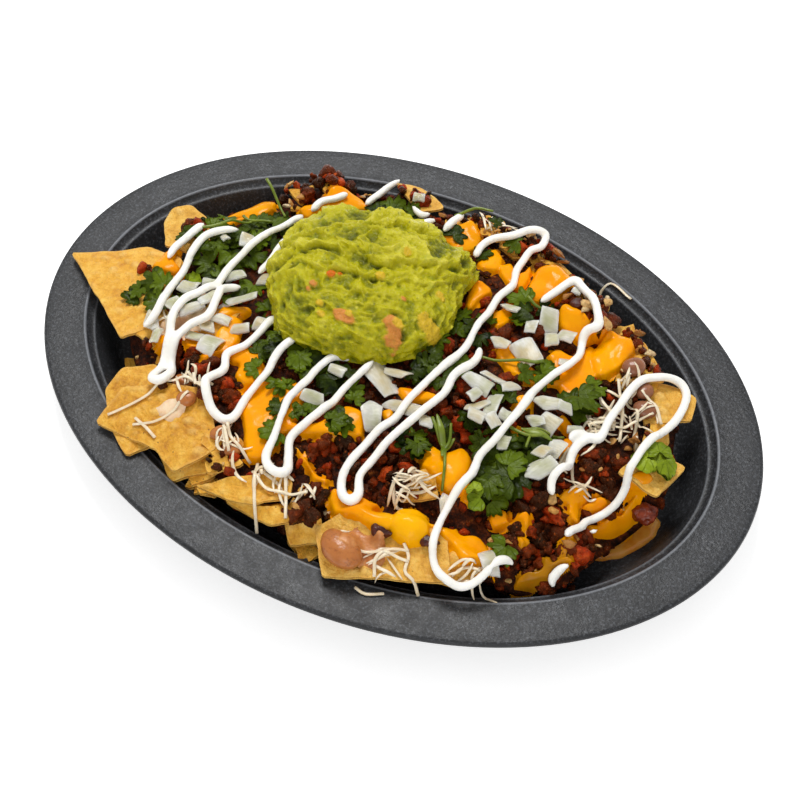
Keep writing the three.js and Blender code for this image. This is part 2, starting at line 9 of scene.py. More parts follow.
import bpy
import numpy as np
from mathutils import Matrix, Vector


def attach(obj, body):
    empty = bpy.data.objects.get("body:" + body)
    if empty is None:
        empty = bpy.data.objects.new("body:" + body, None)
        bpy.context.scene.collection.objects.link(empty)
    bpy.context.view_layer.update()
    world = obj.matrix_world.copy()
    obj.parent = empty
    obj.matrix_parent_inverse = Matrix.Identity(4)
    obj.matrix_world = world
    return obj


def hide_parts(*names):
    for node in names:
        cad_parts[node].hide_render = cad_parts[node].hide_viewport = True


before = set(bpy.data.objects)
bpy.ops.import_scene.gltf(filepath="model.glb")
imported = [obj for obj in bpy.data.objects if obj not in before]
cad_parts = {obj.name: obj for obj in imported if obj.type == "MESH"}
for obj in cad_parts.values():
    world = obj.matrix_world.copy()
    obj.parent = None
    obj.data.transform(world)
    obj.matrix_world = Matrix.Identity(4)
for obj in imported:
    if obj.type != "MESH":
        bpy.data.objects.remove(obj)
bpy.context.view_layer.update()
MM = 0.001
TAU = 2 * math.pi

# ------------------------------------------------------------------ noise


def scatter_hash(ix, iy, iz, seed):
    """A repeatable number from 0 to 1 for each whole-number cell."""
    h = (ix * 374761393 + iy * 668265263 + iz * 974634777 + seed * 1274126177) & 0xFFFFFFFF
    h = ((h ^ (h >> 13)) * 1274126177) & 0xFFFFFFFF
    h = ((h ^ (h >> 16)) * 668265263) & 0xFFFFFFFF
    return ((h ^ (h >> 15)) & 0xFFFFF) / 0xFFFFF


def noise(points, size, seed=0):
    """Smooth noise from -1 to 1 whose lumps are about size mm across, at points (n, 3)."""
    q = np.asarray(points, float) / size
    cell = np.floor(q).astype(np.int64)
    f = q - cell
    f = f * f * (3 - 2 * f)
    total = np.zeros(len(q))
    for dx in (0, 1):
        for dy in (0, 1):
            for dz in (0, 1):
                w = np.abs(1 - dx - f[:, 0]) * np.abs(1 - dy - f[:, 1]) * np.abs(1 - dz - f[:, 2])
                total += w * scatter_hash(cell[:, 0] + dx, cell[:, 1] + dy, cell[:, 2] + dz, seed)
    return 2 * total - 1


def fbm(points, size, octaves, seed=0):
    """Several sizes of noise added, each half as large and half as strong as the last."""
    return sum(noise(points, size / 2**k, seed + k) / 2**k for k in range(octaves))


def cells(points, size, seed=0):
    """For each point: distance to the nearest scattered seed point, in cell sizes, and its random number."""
    q = np.asarray(points, float) / size
    base = np.floor(q).astype(np.int64)
    best = np.full(len(q), 9.0)
    tag = np.zeros(len(q))
    for dx in (-1, 0, 1):
        for dy in (-1, 0, 1):
            for dz in (-1, 0, 1):
                c = base + (dx, dy, dz)
                offset = [scatter_hash(c[:, 0], c[:, 1], c[:, 2], seed + s) for s in (11, 23, 37)]
                d = np.linalg.norm(c + np.stack(offset, 1) - q, axis=1)
                near = d < best
                best = np.where(near, d, best)
                tag = np.where(near, scatter_hash(c[:, 0], c[:, 1], c[:, 2], seed + 51), tag)
    return best, tag


def flat(x, y):
    """Plan positions as points at height 0."""
    x, y = np.broadcast_arrays(np.asarray(x, float), np.asarray(y, float))
    return np.stack([x.ravel(), y.ravel(), np.zeros(x.size)], 1)


# ------------------------------------------------------------------ meshes


def build(name, verts, faces, mat, uv=None, **painted):
    """A mesh object from arrays: verts in mm, faces as one array or several of equal-sided polygons.

    Every further argument holds a number for each vertex, kept under its name for the material to read.
    """
    groups = faces if isinstance(faces, list) else [faces]
    groups = [np.asarray(group, np.int32) for group in groups]
    loops = np.concatenate([group.ravel() for group in groups])
    sizes = np.concatenate([np.full(len(group), group.shape[1], np.int32) for group in groups])
    me = bpy.data.meshes.new(name)
    me.vertices.add(len(verts))
    me.vertices.foreach_set("co", (np.asarray(verts, np.float32) * MM).ravel())
    me.loops.add(len(loops))
    me.loops.foreach_set("vertex_index", loops)
    me.polygons.add(len(sizes))
    me.polygons.foreach_set("loop_start", np.concatenate([[0], np.cumsum(sizes)[:-1]]).astype(np.int32))
    me.polygons.foreach_set("loop_total", sizes)
    me.polygons.foreach_set("use_smooth", np.ones(len(sizes), bool))
    if uv is not None:
        layer = me.uv_layers.new(name="UVMap")
        layer.data.foreach_set("uv", np.asarray(uv, np.float32)[loops].ravel())
    me.update()
    me.validate()
    for key, values in painted.items():
        layer = me.attributes.new(key, "FLOAT", "POINT")
        layer.data.foreach_set("value", np.asarray(values, np.float32))
    me.materials.append(mat)
    ob = bpy.data.objects.new(name, me)
    bpy.context.scene.collection.objects.link(ob)
    return ob


def join(parts):
    """Joins (verts, faces) or (verts, faces, values) pieces into one set of arrays."""
    start = 0
    verts, values, by_sides = [], [], {}
    for part in parts:
        verts.append(part[0])
        for group in part[1] if isinstance(part[1], list) else [part[1]]:
            by_sides.setdefault(group.shape[1], []).append(group + start)
        values += part[2:3]
        start += len(part[0])
    faces = [np.concatenate(groups) for groups in by_sides.values()]
    return np.concatenate(verts), faces, np.concatenate(values) if values else None


def column(parts, number):
    """One of the value arrays of several pieces, in a row."""
    return np.concatenate([part[number] for part in parts])


def wrap_grid(rows, cols):
    """Quads of a grid of rows by cols whose columns run round and close on themselves."""
    r, c = np.meshgrid(np.arange(rows - 1), np.arange(cols), indexing="ij")
    a = (r * cols + c).ravel()
    b = (r * cols + (c + 1) % cols).ravel()
    return np.stack([a, b, b + cols, a + cols], 1)


def slab(x, y, top, bottom, rings, clockwise=False):
    """A thin closed piece: its upper and lower face are given ring by ring, from the middle to the edge."""
    verts = np.concatenate([np.column_stack([x, y, top]), np.column_stack([x, y, bottom])])
    n = len(x)
    sides = n // rings
    grid = wrap_grid(rings, sides)
    hub = np.arange(sides)[None, :]
    seam = np.arange(n - sides, n)
    after = np.roll(seam, -1)
    wall = np.stack([after, n + after, n + seam, seam], 1)
    if clockwise:
        return verts, [grid, (grid + n)[:, ::-1], wall[:, (2, 1, 0, 3)], hub[:, ::-1], hub + n]
    return verts, [grid[:, ::-1], grid + n, wall, hub, hub[:, ::-1] + n]


def sheet(x, y, z, keep):
    """The kept part of a grid as vertices and quads."""
    index = -np.ones(x.shape, int)
    index[keep] = np.arange(keep.sum())
    quad = keep[:-1, :-1] & keep[1:, :-1] & keep[:-1, 1:] & keep[1:, 1:]
    j, i = np.nonzero(quad)
    faces = np.stack([index[j, i], index[j, i + 1], index[j + 1, i + 1], index[j + 1, i]], 1)
    return np.stack([x[keep], y[keep], z[keep]], 1), faces


def modified(ob, *steps):
    """Applies modifiers, given as (kind, {setting: value}), and keeps the result as the object's mesh."""
    for kind, settings in steps:
        mod = ob.modifiers.new(kind, kind)
        for key, value in settings.items():
            setattr(mod, key, value)
    graph = bpy.context.evaluated_depsgraph_get()
    me = bpy.data.meshes.new_from_object(ob.evaluated_get(graph))
    ob.modifiers.clear()
    old = ob.data
    ob.data = me
    bpy.data.meshes.remove(old)
    me.polygons.foreach_set("use_smooth", np.ones(len(me.polygons), bool))
    return ob


def finish_piece(ob, slot, *nodes):
    """Puts a finished piece on the CAD body, in place of the CAD nodes it stands for."""
    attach(ob, "root")
    if nodes:
        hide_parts(*nodes)

# ------------------------------------------------------------------ outlines and curves


def turned(u, v, angle):
    """Plan offsets turned by an angle in radians."""
    return u * math.cos(angle) - v * math.sin(angle), u * math.sin(angle) + v * math.cos(angle)


def fan(shares, reach, angle):
    """Plan offsets of rings that are shares of an outline, which is given by its reach in each direction."""
    return [(shares[:, None] * reach * part(angle)).ravel() for part in (np.cos, np.sin)]


def cut_reach(rng, angle, corners, spread, offsets, limit, start=0.0):
    """The reach in each direction of a piece with straight, uneven sides."""
    facing = start + np.arange(corners) * TAU / corners + rng.normal(size=corners) * spread
    offset = rng.uniform(*offsets, corners)
    nearest = (offset / np.maximum(np.cos(angle[:, None] - facing), 0.05)).min(1)
    return np.minimum(nearest, limit)


def between(a, b, c, d, t):
    """Points at shares t of the way from b to c on the smooth (Catmull-Rom) curve through a, b, c and d."""
    return 0.5 * (2 * b + (c - a) * t + (2 * a - 5 * b + 4 * c - d) * t**2 + (3 * b - a - 3 * c + d) * t**3)


def closed_curve(points):
    """A smooth closed curve through plan points, with three more between each two."""
    p = np.asarray(points, float)
    four = [np.roll(p, shift, 0) for shift in (1, 0, -1, -2)]
    return np.stack([between(*four, k / 4) for k in range(4)], 1).reshape(-1, 2)


def smooth_path(points, spacing):
    """A smooth open curve through points, sampled every spacing mm."""
    p = np.asarray(points, float)
    full = np.vstack([2 * p[0] - p[1], p, 2 * p[-1] - p[-2]])
    out = []
    for k in range(1, len(full) - 2):
        four = full[k - 1 : k + 3]
        count = max(2, int(np.linalg.norm(four[2] - four[1]) / spacing * 2))
        out.append(between(*four, np.arange(count)[:, None] / count))
    out = np.vstack(out + [p[-1:]])
    along = np.concatenate([[0], np.cumsum(np.linalg.norm(np.diff(out, axis=0), axis=1))])
    places = np.linspace(0, along[-1], max(3, int(along[-1] / spacing)))
    return np.stack([np.interp(places, along, out[:, k]) for k in range(out.shape[1])], 1)


def soften(values, width):
    """Averages a row of numbers over a window, keeping its ends."""
    padded = np.pad(values, width, mode="edge")
    kernel = np.hanning(2 * width + 1)
    return np.convolve(padded, kernel / kernel.sum(), "same")[width:-width]


def depth_inside(x, y, outline):
    """Distance from each plan position to an outline: positive inside it, negative outside."""
    near = np.full(x.shape, 1e9)
    inside = np.zeros(x.shape, bool)
    for (ax, ay), (bx, by) in zip(outline, np.roll(outline, -1, 0)):
        ex, ey = bx - ax, by - ay
        t = np.clip(((x - ax) * ex + (y - ay) * ey) / (ex * ex + ey * ey + 1e-9), 0, 1)
        near = np.minimum(near, (x - ax - t * ex) ** 2 + (y - ay - t * ey) ** 2)
        crosses = ((ay > y) != (by > y)) & (x < ex * (y - ay) / (ey if abs(ey) > 1e-9 else 1e-9) + ax)
        inside ^= crosses
    return np.where(inside, 1, -1) * np.sqrt(near)


def tube(path, radius, sides=8, flatten=1.0):
    """A tube with closed ends along points (n, 3); radius is a number or one for each point."""
    path = np.asarray(path, float)
    radius = np.broadcast_to(radius, len(path)).astype(float).copy()
    forward = np.gradient(path, axis=0)
    forward /= np.linalg.norm(forward, axis=1)[:, None] + 1e-9
    side = np.cross(forward, (0, 0, 1.0))
    side /= np.linalg.norm(side, axis=1)[:, None] + 1e-9
    up = np.cross(side, forward)
    angle = np.arange(sides) * TAU / sides
    across = np.cos(angle)[None, :, None] * side[:, None, :]
    ring = across + flatten * np.sin(angle)[None, :, None] * up[:, None, :]
    verts = (path[:, None, :] + radius[:, None, None] * ring).reshape(-1, 3)
    grid = wrap_grid(len(path), sides)
    caps = np.array([np.arange(sides), np.arange(sides)[::-1] + (len(path) - 1) * sides])
    return verts, [grid[:, ::-1], caps]


# ------------------------------------------------------------------ the ground that food lies on

STEP = 0.75
GX = np.arange(-174, 174 + STEP, STEP)
GY = np.arange(-129, 129 + STEP, STEP)
XX, YY = np.meshgrid(GX, GY)

HALF_LENGTH, HALF_WIDTH = 170.0, 125.0
WELL_FLOOR = 3.0
RIM_SECTION = [  # distance in from the platter's edge, height
    (0, 23.4), (0.25, 24.3), (0.9, 24.9), (1.8, 25), (10, 24.75), (18, 24.4), (18.5, 24.45), (18.9, 24.4),
    (19.2, 24.15), (19.5, 23.7), (20.2, 22.6), (21.2, 21.7), (22, 21.25), (22.4, 21.2), (22.8, 20.95),
    (23.1, 20.5), (23.5, 19.6), (26, 14.4), (30, 7.1), (31.5, 5), (33.5, 3.7), (36.5, 3.1),
    (40, WELL_FLOOR), (170, WELL_FLOOR),
]
UNDERSIDE = [
    (170, 0), (31.8, 0), (31, 0.15), (29.5, 0.9), (26.5, 3.3), (22, 13), (18.8, 20.2), (17.8, 21.3),
    (16.5, 21.7), (4, 21.95), (1.2, 22.1), (0.4, 22.5), (0, 23.4),
]
NARROW = HALF_LENGTH - HALF_WIDTH
KNEE = HALF_LENGTH - 37.0  # inside it the ovals keep one shape


def squash_factor(radius):
    """Half width over half length of the platter's oval of that half length."""
    return 1 - NARROW / np.maximum(radius, KNEE)


def rim_inset(x, y):
    """How far in from the platter's outer edge a plan position lies."""
    low, high = np.full(np.shape(x), 0.01), np.full(np.shape(x), 200.0)
    for _ in range(26):
        mid = (low + high) / 2
        outside = (x / mid) ** 2 + (y / (mid * squash_factor(mid))) ** 2 > 1
        low, high = np.where(outside, mid, low), np.where(outside, high, mid)
    return HALF_LENGTH - (low + high) / 2


def platter_top(x, y):
    inset = rim_inset(x, y)
    return np.where(inset < 0, 0, np.interp(inset, *np.array(RIM_SECTION).T))


HEAP_X, HEAP_Y = 4.0, -1.0
HEAP_HALF_LENGTH, HEAP_HALF_WIDTH = 128.7, 96.0
FOOT_HEIGHT = WELL_FLOOR + 0.3
FOOT_PULL = 0.12  # how much narrower the heap is at its foot


def mound(x, y):
    """The filling's smooth upper surface, as in the CAD."""
    u, v = (x - HEAP_X) / 130, (y - HEAP_Y) / 97
    return 41 - 12 * (u * u + v * v) + 1.3 * np.sin(0.11 * x + 1.3) * np.cos(0.13 * y + 0.4)


HEAP_REACH = [  # direction in radians, reach as a share of the heap's oval
    (-3.14, 1), (-0.82, 1), (-0.76, 1.045), (-0.7, 1.065), (-0.6, 1.07), (-0.54, 1.05), (-0.48, 1.015),
    (-0.38, 0.985), (-0.28, 0.975), (-0.1, 1), (0.4, 1), (0.62, 0.98), (0.81, 0.955), (0.92, 0.925),
    (1.0, 0.915), (1.09, 0.935), (1.21, 0.965), (1.32, 1), (1.44, 1.02), (1.75, 1.01), (2.0, 1.03),
    (2.12, 1.055), (2.22, 1.08), (2.34, 1.075), (2.48, 1.07), (2.6, 1.06), (2.72, 1.045), (2.82, 1.01),
    (2.9, 0.995), (3.14, 1),
]


def heap_reach(angle):
    return np.interp(angle, *np.array(HEAP_REACH).T, period=TAU) + 0.008 * np.sin(14 * angle + 1)


def heap_share(x, y):
    """Distance from the heap's middle: 1 at its edge."""
    u, v = (x - HEAP_X) / HEAP_HALF_LENGTH, (y - HEAP_Y) / HEAP_HALF_WIDTH
    return np.hypot(u, v) / heap_reach(np.arctan2(v, u))


def heap_place(share, angle):
    """The plan position at a share of the heap's reach in a direction."""
    reach = share * heap_reach(angle)
    return HEAP_X + HEAP_HALF_LENGTH * reach * np.cos(angle), HEAP_Y + HEAP_HALF_WIDTH * reach * np.sin(angle)


def flank_place(x, y, top, down):
    """A place on the heap's flank, from a point of its upper edge (down 0) in to its foot (down 1)."""
    narrow = 1 - FOOT_PULL * down
    return (HEAP_X + (x - HEAP_X) * narrow, HEAP_Y + (y - HEAP_Y) * narrow,
            top * (1 - down) + FOOT_HEIGHT * down)


class Ground:
    """Height of everything laid so far, on a fine grid in plan."""

    def __init__(self):
        self.z = platter_top(XX, YY)
        self.waves = (np.fft.fftfreq(len(GY), STEP)[:, None] ** 2
                      + np.fft.rfftfreq(len(GX), STEP)[None, :] ** 2)

    def at(self, x, y, grid=None):
        """Heights, or the values of another grid, at plan positions."""
        grid = self.z if grid is None else grid
        u = np.clip((np.asarray(x, float) - GX[0]) / STEP, 0, len(GX) - 1.001)
        v = np.clip((np.asarray(y, float) - GY[0]) / STEP, 0, len(GY) - 1.001)
        i, j = u.astype(int), v.astype(int)
        fu, fv = u - i, v - j
        near = grid[j, i] * (1 - fu) + grid[j, i + 1] * fu
        far = grid[j + 1, i] * (1 - fu) + grid[j + 1, i + 1] * fu
        return near * (1 - fv) + far * fv

    def blurred(self, sigma):
        """The height grid smoothed over sigma mm."""
        fade = np.exp(-2 * (math.pi * sigma) ** 2 * self.waves)
        return np.fft.irfft2(np.fft.rfft2(self.z) * fade, self.z.shape)

    def highest(self):
        """The height grid with each place raised to the highest next to it."""
        wide = np.maximum(self.z, np.maximum(np.roll(self.z, 1, 0), np.roll(self.z, -1, 0)))
        return np.maximum(wide, np.maximum(np.roll(wide, 1, 1), np.roll(wide, -1, 1)))

    def lump(self, x, y, radius, top, height):
        """Raises the ground to a rounded lump."""
        i, j = (int(np.clip((low - radius) / STEP, 0, None)) for low in (x - GX[0], y - GY[0]))
        span = int(2 * radius / STEP) + 3
        w = (slice(j, j + span), slice(i, i + span))
        d = ((XX[w] - x) ** 2 + (YY[w] - y) ** 2) / radius**2
        z = np.where(d < 1, top - height * (1 - np.sqrt(np.clip(1 - d, 0, 1))), -99)
        self.z[w] = np.maximum(self.z[w], z)

    def stamp(self, verts):
        """Raises the ground to the top of a piece's vertices, which lie about a grid step apart."""
        i = np.clip(np.round((verts[:, 0] - GX[0]) / STEP).astype(int), 0, len(GX) - 1)
        j = np.clip(np.round((verts[:, 1] - GY[0]) / STEP).astype(int), 0, len(GY) - 1)
        np.maximum.at(self.z, (j, i), verts[:, 2])

    def stamp_wide(self, verts, reach=1):
        """Stamps a piece together with its neighbourhood, a few grid steps each way."""
        for dx in range(-reach, reach + 1):
            for dy in range(-reach, reach + 1):
                self.stamp(verts + np.array([dx * STEP, dy * STEP, 0]))


ground = Ground()

# ------------------------------------------------------------------ materials


def rgb(r, g, b):
    """An sRGB colour, 0 to 255, as linear values."""
    shares = (r / 255, g / 255, b / 255)
    return tuple(c / 12.92 if c <= 0.04045 else ((c + 0.055) / 1.055) ** 2.4 for c in shares) + (1,)


class Look:
    """A Principled material with short calls for its nodes. Sizes are in mm, in the row frame."""

    def __init__(self, name, **sockets):
        self.mat = bpy.data.materials.new(name)
        self.mat.use_nodes = True
        self.tree = self.mat.node_tree
        self.shader = self.tree.nodes["Principled BSDF"]
        for key, value in sockets.items():
            self.shader.inputs[key.replace("_", " ")].default_value = value
        self.coords = self.tree.nodes.new("ShaderNodeTexCoord")

    def link(self, value, socket):
        if hasattr(value, "is_output"):
            self.tree.links.new(value, socket)
        else:
            socket.default_value = value

    def node(self, kind, **inputs):
        """A new node with some of its inputs set or linked."""
        node = self.tree.nodes.new("ShaderNode" + kind)
        for key, value in inputs.items():
            self.link(value, node.inputs[key])
        return node

    def stretched(self, stretch, where="Object"):
        return self.node("Mapping", Scale=stretch, Vector=self.coords.outputs[where]).outputs["Vector"]

    def noise(self, size, detail=3, roughness=0.55, distortion=0.0, vector=None):
        vector = vector or self.coords.outputs["Object"]
        node = self.node("TexNoise", Scale=1000 / size, Detail=detail, Roughness=roughness, Vector=vector)
        node.inputs["Distortion"].default_value = distortion
        return node.outputs["Fac"]

    def cells(self, size):
        node = self.node("TexVoronoi", Scale=1000 / size, Vector=self.coords.outputs["Object"])
        return node.outputs["Distance"]

    def ramp(self, value, *stops):
        """Turns a value into the colours or greys of the stops, given as (place, colour or number)."""
        node = self.node("ValToRGB", Fac=value)
        ramp = node.color_ramp
        while len(ramp.elements) < len(stops):
            ramp.elements.new(0.5)
        for element, (place, colour) in zip(ramp.elements, stops):
            element.position = place
            element.color = colour if isinstance(colour, tuple) else (colour, colour, colour, 1)
        return node.outputs["Color"]

    def mix(self, share, a, b, kind="MIX"):
        node = self.node("Mix")
        node.data_type = "RGBA"
        node.blend_type = kind
        colours = [socket for socket in node.inputs if socket.type == "RGBA"]
        self.link(share, node.inputs[0])
        self.link(a, colours[0])
        self.link(b, colours[1])
        return next(socket for socket in node.outputs if socket.type == "RGBA")

    def tint(self, colour, shade, value, *stops):
        """Lays a shade over a colour, as strongly as the stops make of the value."""
        return self.mix(self.ramp(value, *stops), colour, shade)

    def math(self, operation, a, b=0.5):
        node = self.node("Math")
        node.operation = operation
        self.link(a, node.inputs[0])
        self.link(b, node.inputs[1])
        return node.outputs["Value"]

    def sum(self, a, share_a, b, share_b):
        return self.math("ADD", self.math("MULTIPLY", a, share_a), self.math("MULTIPLY", b, share_b))

    def uv_axis(self, name):
        return self.node("SeparateXYZ", Vector=self.coords.outputs["UV"]).outputs[name]

    def painted(self, name):
        node = self.node("Attribute")
        node.attribute_name = name
        return node.outputs["Fac"]

    def bump(self, height, distance, under=None):
        node = self.node("Bump", Strength=1.0, Distance=distance * MM, Height=height)
        if under is not None:
            self.link(under, node.inputs["Normal"])
        return node.outputs["Normal"]

    def done(self, colour, normal, roughness=None):
        self.link(colour, self.shader.inputs["Base Color"])
        self.link(normal, self.shader.inputs["Normal"])
        if roughness is not None:
            self.link(roughness, self.shader.inputs["Roughness"])
        return self.mat


def platter_look():
    k = Look("platter_resin", Roughness=0.4, Specular_IOR_Level=0.35)
    colour = k.ramp(k.noise(26, 5, 0.6), (0.32, rgb(37, 38, 39)), (0.68, rgb(48, 49, 51)))
    colour = k.tint(colour, rgb(104, 107, 113), k.noise(1.25, 3, 0.75), (0.5, 0.0), (0.7, 0.62))
    colour = k.tint(colour, rgb(32, 32, 35), k.noise(1.2, 3, 0.8), (0.34, 0.7), (0.47, 0.0))
    # painted highlight along the edges of the rim's two steps
    colour = k.mix(k.painted("worn"), colour, rgb(176, 180, 188))
    # painted shade on the platter's outer lip
    colour = k.mix(k.painted("edge"), colour, rgb(26, 27, 30))
    return k.done(colour, k.bump(k.noise(1.7, 4, 0.7), 0.3), k.ramp(k.noise(7, 4), (0.3, 0.3), (0.7, 0.5)))


def chip_look(name, pale, mid, toasted):
    k = Look(name, Roughness=0.5, Specular_IOR_Level=0.34, Subsurface_Weight=0.06, Subsurface_Scale=0.002,
             Subsurface_Radius=(1.0, 0.6, 0.2))
    shade = k.sum(k.noise(11, 5, 0.65, 0.8), 0.55, k.noise(3, 4, 0.7), 0.45)
    colour = k.ramp(shade, (0.34, toasted), (0.5, mid), (0.64, pale))
    colour = k.mix(k.math("MULTIPLY", k.painted("blister"), 0.6), colour, rgb(250, 208, 120))
    colour = k.tint(colour, rgb(242, 190, 98), k.painted("edge"), (0.93, 0.0), (1.0, 0.55))
    spots = k.ramp(k.cells(3.0), (0.06, 0.9), (0.15, 0.0))
    some = k.ramp(k.noise(8, 2), (0.54, 0.0), (0.62, 1.0))
    colour = k.mix(k.math("MULTIPLY", spots, some), colour, rgb(96, 52, 18))
    colour = k.tint(colour, rgb(184, 112, 36), k.noise(17, 4, 0.65, 0.5), (0.6, 0.0), (0.8, 0.3))
    grain = k.noise(1.0, 3, 0.75)
    colour = k.tint(colour, rgb(188, 122, 34), grain, (0.36, 0.22), (0.5, 0.0))
    normal = k.bump(k.noise(2.6, 4, 0.6), 1.0, under=k.bump(grain, 0.55))
    return k.done(colour, normal, k.ramp(k.noise(5, 3), (0.3, 0.28), (0.7, 0.52)))


def meat_look():
    k = Look("chorizo", Roughness=0.3, Specular_IOR_Level=0.3, Specular_Tint=(1.0, 0.62, 0.36, 1))
    whole = k.ramp(
        k.painted("tone"), (0.0, rgb(28, 9, 2)), (0.34, rgb(64, 22, 4)), (0.6, rgb(116, 40, 6)),
        (0.84, rgb(174, 50, 11)), (1.0, rgb(200, 82, 24)))
    patch = k.ramp(k.noise(2.1, 4, 0.75), (0.3, rgb(110, 84, 66)), (0.56, rgb(255, 255, 255)))
    colour = k.mix(0.85, whole, patch, "MULTIPLY")
    fat = k.noise(1.6, 3, 0.7, vector=k.stretched((1.3, 0.8, 1)))
    colour = k.tint(colour, rgb(206, 96, 28), fat, (0.6, 0.0), (0.72, 0.6))
    normal = k.bump(k.noise(0.8, 4, 0.75), 0.6)
    return k.done(colour, normal, k.ramp(k.noise(1.7, 3), (0.3, 0.12), (0.7, 0.4)))


def filling_and_gap_shade_look():
    k = Look("filling", Roughness=0.36, Specular_IOR_Level=0.12)
    # partly the filling's own dark colour, partly painted shade: its near-black stands for the shade in the
    # gaps between the food
    colour = k.ramp(
        k.noise(3.4, 5, 0.75), (0.34, rgb(18, 7, 3)), (0.48, rgb(50, 19, 5)), (0.6, rgb(96, 40, 10)),
        (0.7, rgb(156, 88, 28)))
    return k.done(colour, k.bump(k.noise(1.6, 4, 0.7), 1.2))


def sauce_look():
    k = Look("cheese_sauce", Roughness=0.2, Specular_IOR_Level=0.14, Subsurface_Weight=0.1,
             Subsurface_Scale=0.0015, Subsurface_Radius=(1.0, 0.5, 0.02))
    colour = k.ramp(k.noise(16, 3), (0.3, rgb(242, 146, 0)), (0.7, rgb(250, 168, 0)))
    # painted light: the front dome of sauce made a brighter yellow, as if lit
    colour = k.mix(k.painted("deep"), colour, rgb(253, 182, 4))
    colour = k.mix(k.painted("olive"), colour, rgb(168, 112, 10))
    colour = k.tint(colour, rgb(180, 80, 6), k.noise(1.4, 2, 0.6), (0.72, 0.0), (0.79, 0.5))
    colour = k.tint(colour, rgb(204, 96, 4), k.noise(9, 4, 0.65), (0.62, 0.0), (0.78, 0.5))
    return k.done(colour, k.bump(k.noise(7, 2), 0.5))


def crema_look():
    k = Look("crema", Roughness=0.34, Specular_IOR_Level=0.4, Subsurface_Weight=0.3, Subsurface_Scale=0.002,
             Subsurface_Radius=(1.0, 0.92, 0.8))
    colour = k.ramp(k.noise(8, 3), (0.3, rgb(248, 244, 234)), (0.7, rgb(254, 252, 244)))
    return k.done(colour, k.bump(k.noise(3.4, 3), 0.5))


def guacamole_look():
    k = Look("guacamole", Roughness=0.28, Specular_IOR_Level=0.26, Subsurface_Weight=0.08,
             Subsurface_Scale=0.001, Subsurface_Radius=(0.8, 1.0, 0.05))
    # painted shade and highlight: the relief's low creases are darkened and its raised folds lightened
    shade = k.sum(k.noise(6, 5, 0.7, 0.8), 0.56, k.painted("height"), 0.58)
    colour = k.ramp(
        shade, (0.27, rgb(88, 92, 1)), (0.42, rgb(136, 136, 3)), (0.56, rgb(184, 176, 12)),
        (0.73, rgb(192, 184, 22)), (0.9, rgb(212, 202, 60)))
    colour = k.tint(colour, rgb(112, 134, 8), k.noise(5, 3), (0.56, 0.0), (0.74, 0.5))
    pale = k.ramp(k.cells(2.9), (0.12, 0.6), (0.3, 0.0))
    some = k.ramp(k.noise(10, 2), (0.5, 0.0), (0.6, 1.0))
    colour = k.mix(k.math("MULTIPLY", pale, some), colour, rgb(226, 214, 84))
    colour = k.tint(colour, rgb(72, 80, 3), k.cells(5.5), (0.06, 0.6), (0.16, 0.0))
    fleck = k.ramp(k.noise(1.8, 3, 0.7), (0.3, 0.35), (0.5, 0.0))
    flesh_colours = {"tomato": rgb(216, 132, 62), "pale": rgb(222, 182, 44), "red": rgb(222, 92, 10)}
    for name, flesh in flesh_colours.items():
        colour = k.mix(k.painted(name), colour, k.mix(fleck, flesh, rgb(150, 128, 22)))
    normal = k.bump(k.noise(2.6, 3), 1.1, under=k.bump(k.noise(1.1, 4, 0.65), 0.6))
    return k.done(colour, normal, k.ramp(k.noise(2.5, 3), (0.3, 0.12), (0.7, 0.38)))


def onion_look():
    k = Look("onion", Roughness=0.14, Specular_IOR_Level=0.6, Subsurface_Weight=0.3, Subsurface_Scale=0.003,
             Subsurface_Radius=(1.0, 0.96, 0.7), Transmission_Weight=0.32, IOR=1.3)
    fibre = k.noise(1.0, 3, 0.6, 0.5, vector=k.stretched((0.2, 1.2, 1), "UV"))
    clear = k.tint(rgb(208, 208, 168), rgb(226, 206, 158), k.painted("tone"), (0.4, 0.0), (0.9, 1.0))
    depth = k.sum(k.noise(8, 2), 1.0, k.painted("edge"), 0.3)
    colour = k.tint(clear, rgb(254, 253, 244), depth, (0.38, 0.0), (0.78, 1.0))
    colour = k.tint(colour, rgb(186, 186, 146), fibre, (0.36, 0.25), (0.6, 0.0))
    return k.done(colour, k.bump(fibre, 0.3))


def leaf_look(name, dark, light):
    k = Look(name, Roughness=0.34, Specular_IOR_Level=0.12)
    u = k.math("SUBTRACT", k.uv_axis("X"), 0.5)
    v = k.math("SUBTRACT", k.uv_axis("Y"), 0.5)
    angle = k.math("ARCTAN2", v, k.math("ADD", u, 0.1))
    rays = k.math("ABSOLUTE", k.math("SINE", k.math("MULTIPLY", angle, 4.5)))
    vein = k.ramp(rays, (0.0, 1.0), (0.12, 0.0))
    shade = k.sum(k.noise(4, 4), 0.5, k.painted("tone"), 0.5)
    colour = k.ramp(shade, (0.2, dark), (0.72, light))
    colour = k.mix(k.math("MULTIPLY", vein, 0.22), colour, rgb(112, 132, 24))
    normal = k.bump(k.math("SUBTRACT", k.noise(1.6, 2), k.math("MULTIPLY", vein, 0.9)), 0.5)
    return k.done(colour, normal)


def bean_look():
    k = Look("pinto_bean", Roughness=0.24, Specular_IOR_Level=0.35, Subsurface_Weight=0.1,
             Subsurface_Scale=0.001)
    shade = k.sum(k.noise(6, 4), 0.5, k.painted("fried"), 0.5)
    colour = k.ramp(
        shade, (0.2, rgb(134, 84, 58)), (0.36, rgb(160, 106, 74)), (0.6, rgb(166, 96, 46)),
        (0.8, rgb(186, 116, 60)))
    colour = k.tint(colour, rgb(112, 62, 42), k.noise(1.6, 4, 0.7), (0.34, 0.5), (0.46, 0.0))
    return k.done(colour, k.bump(k.noise(2.2, 3), 0.25))


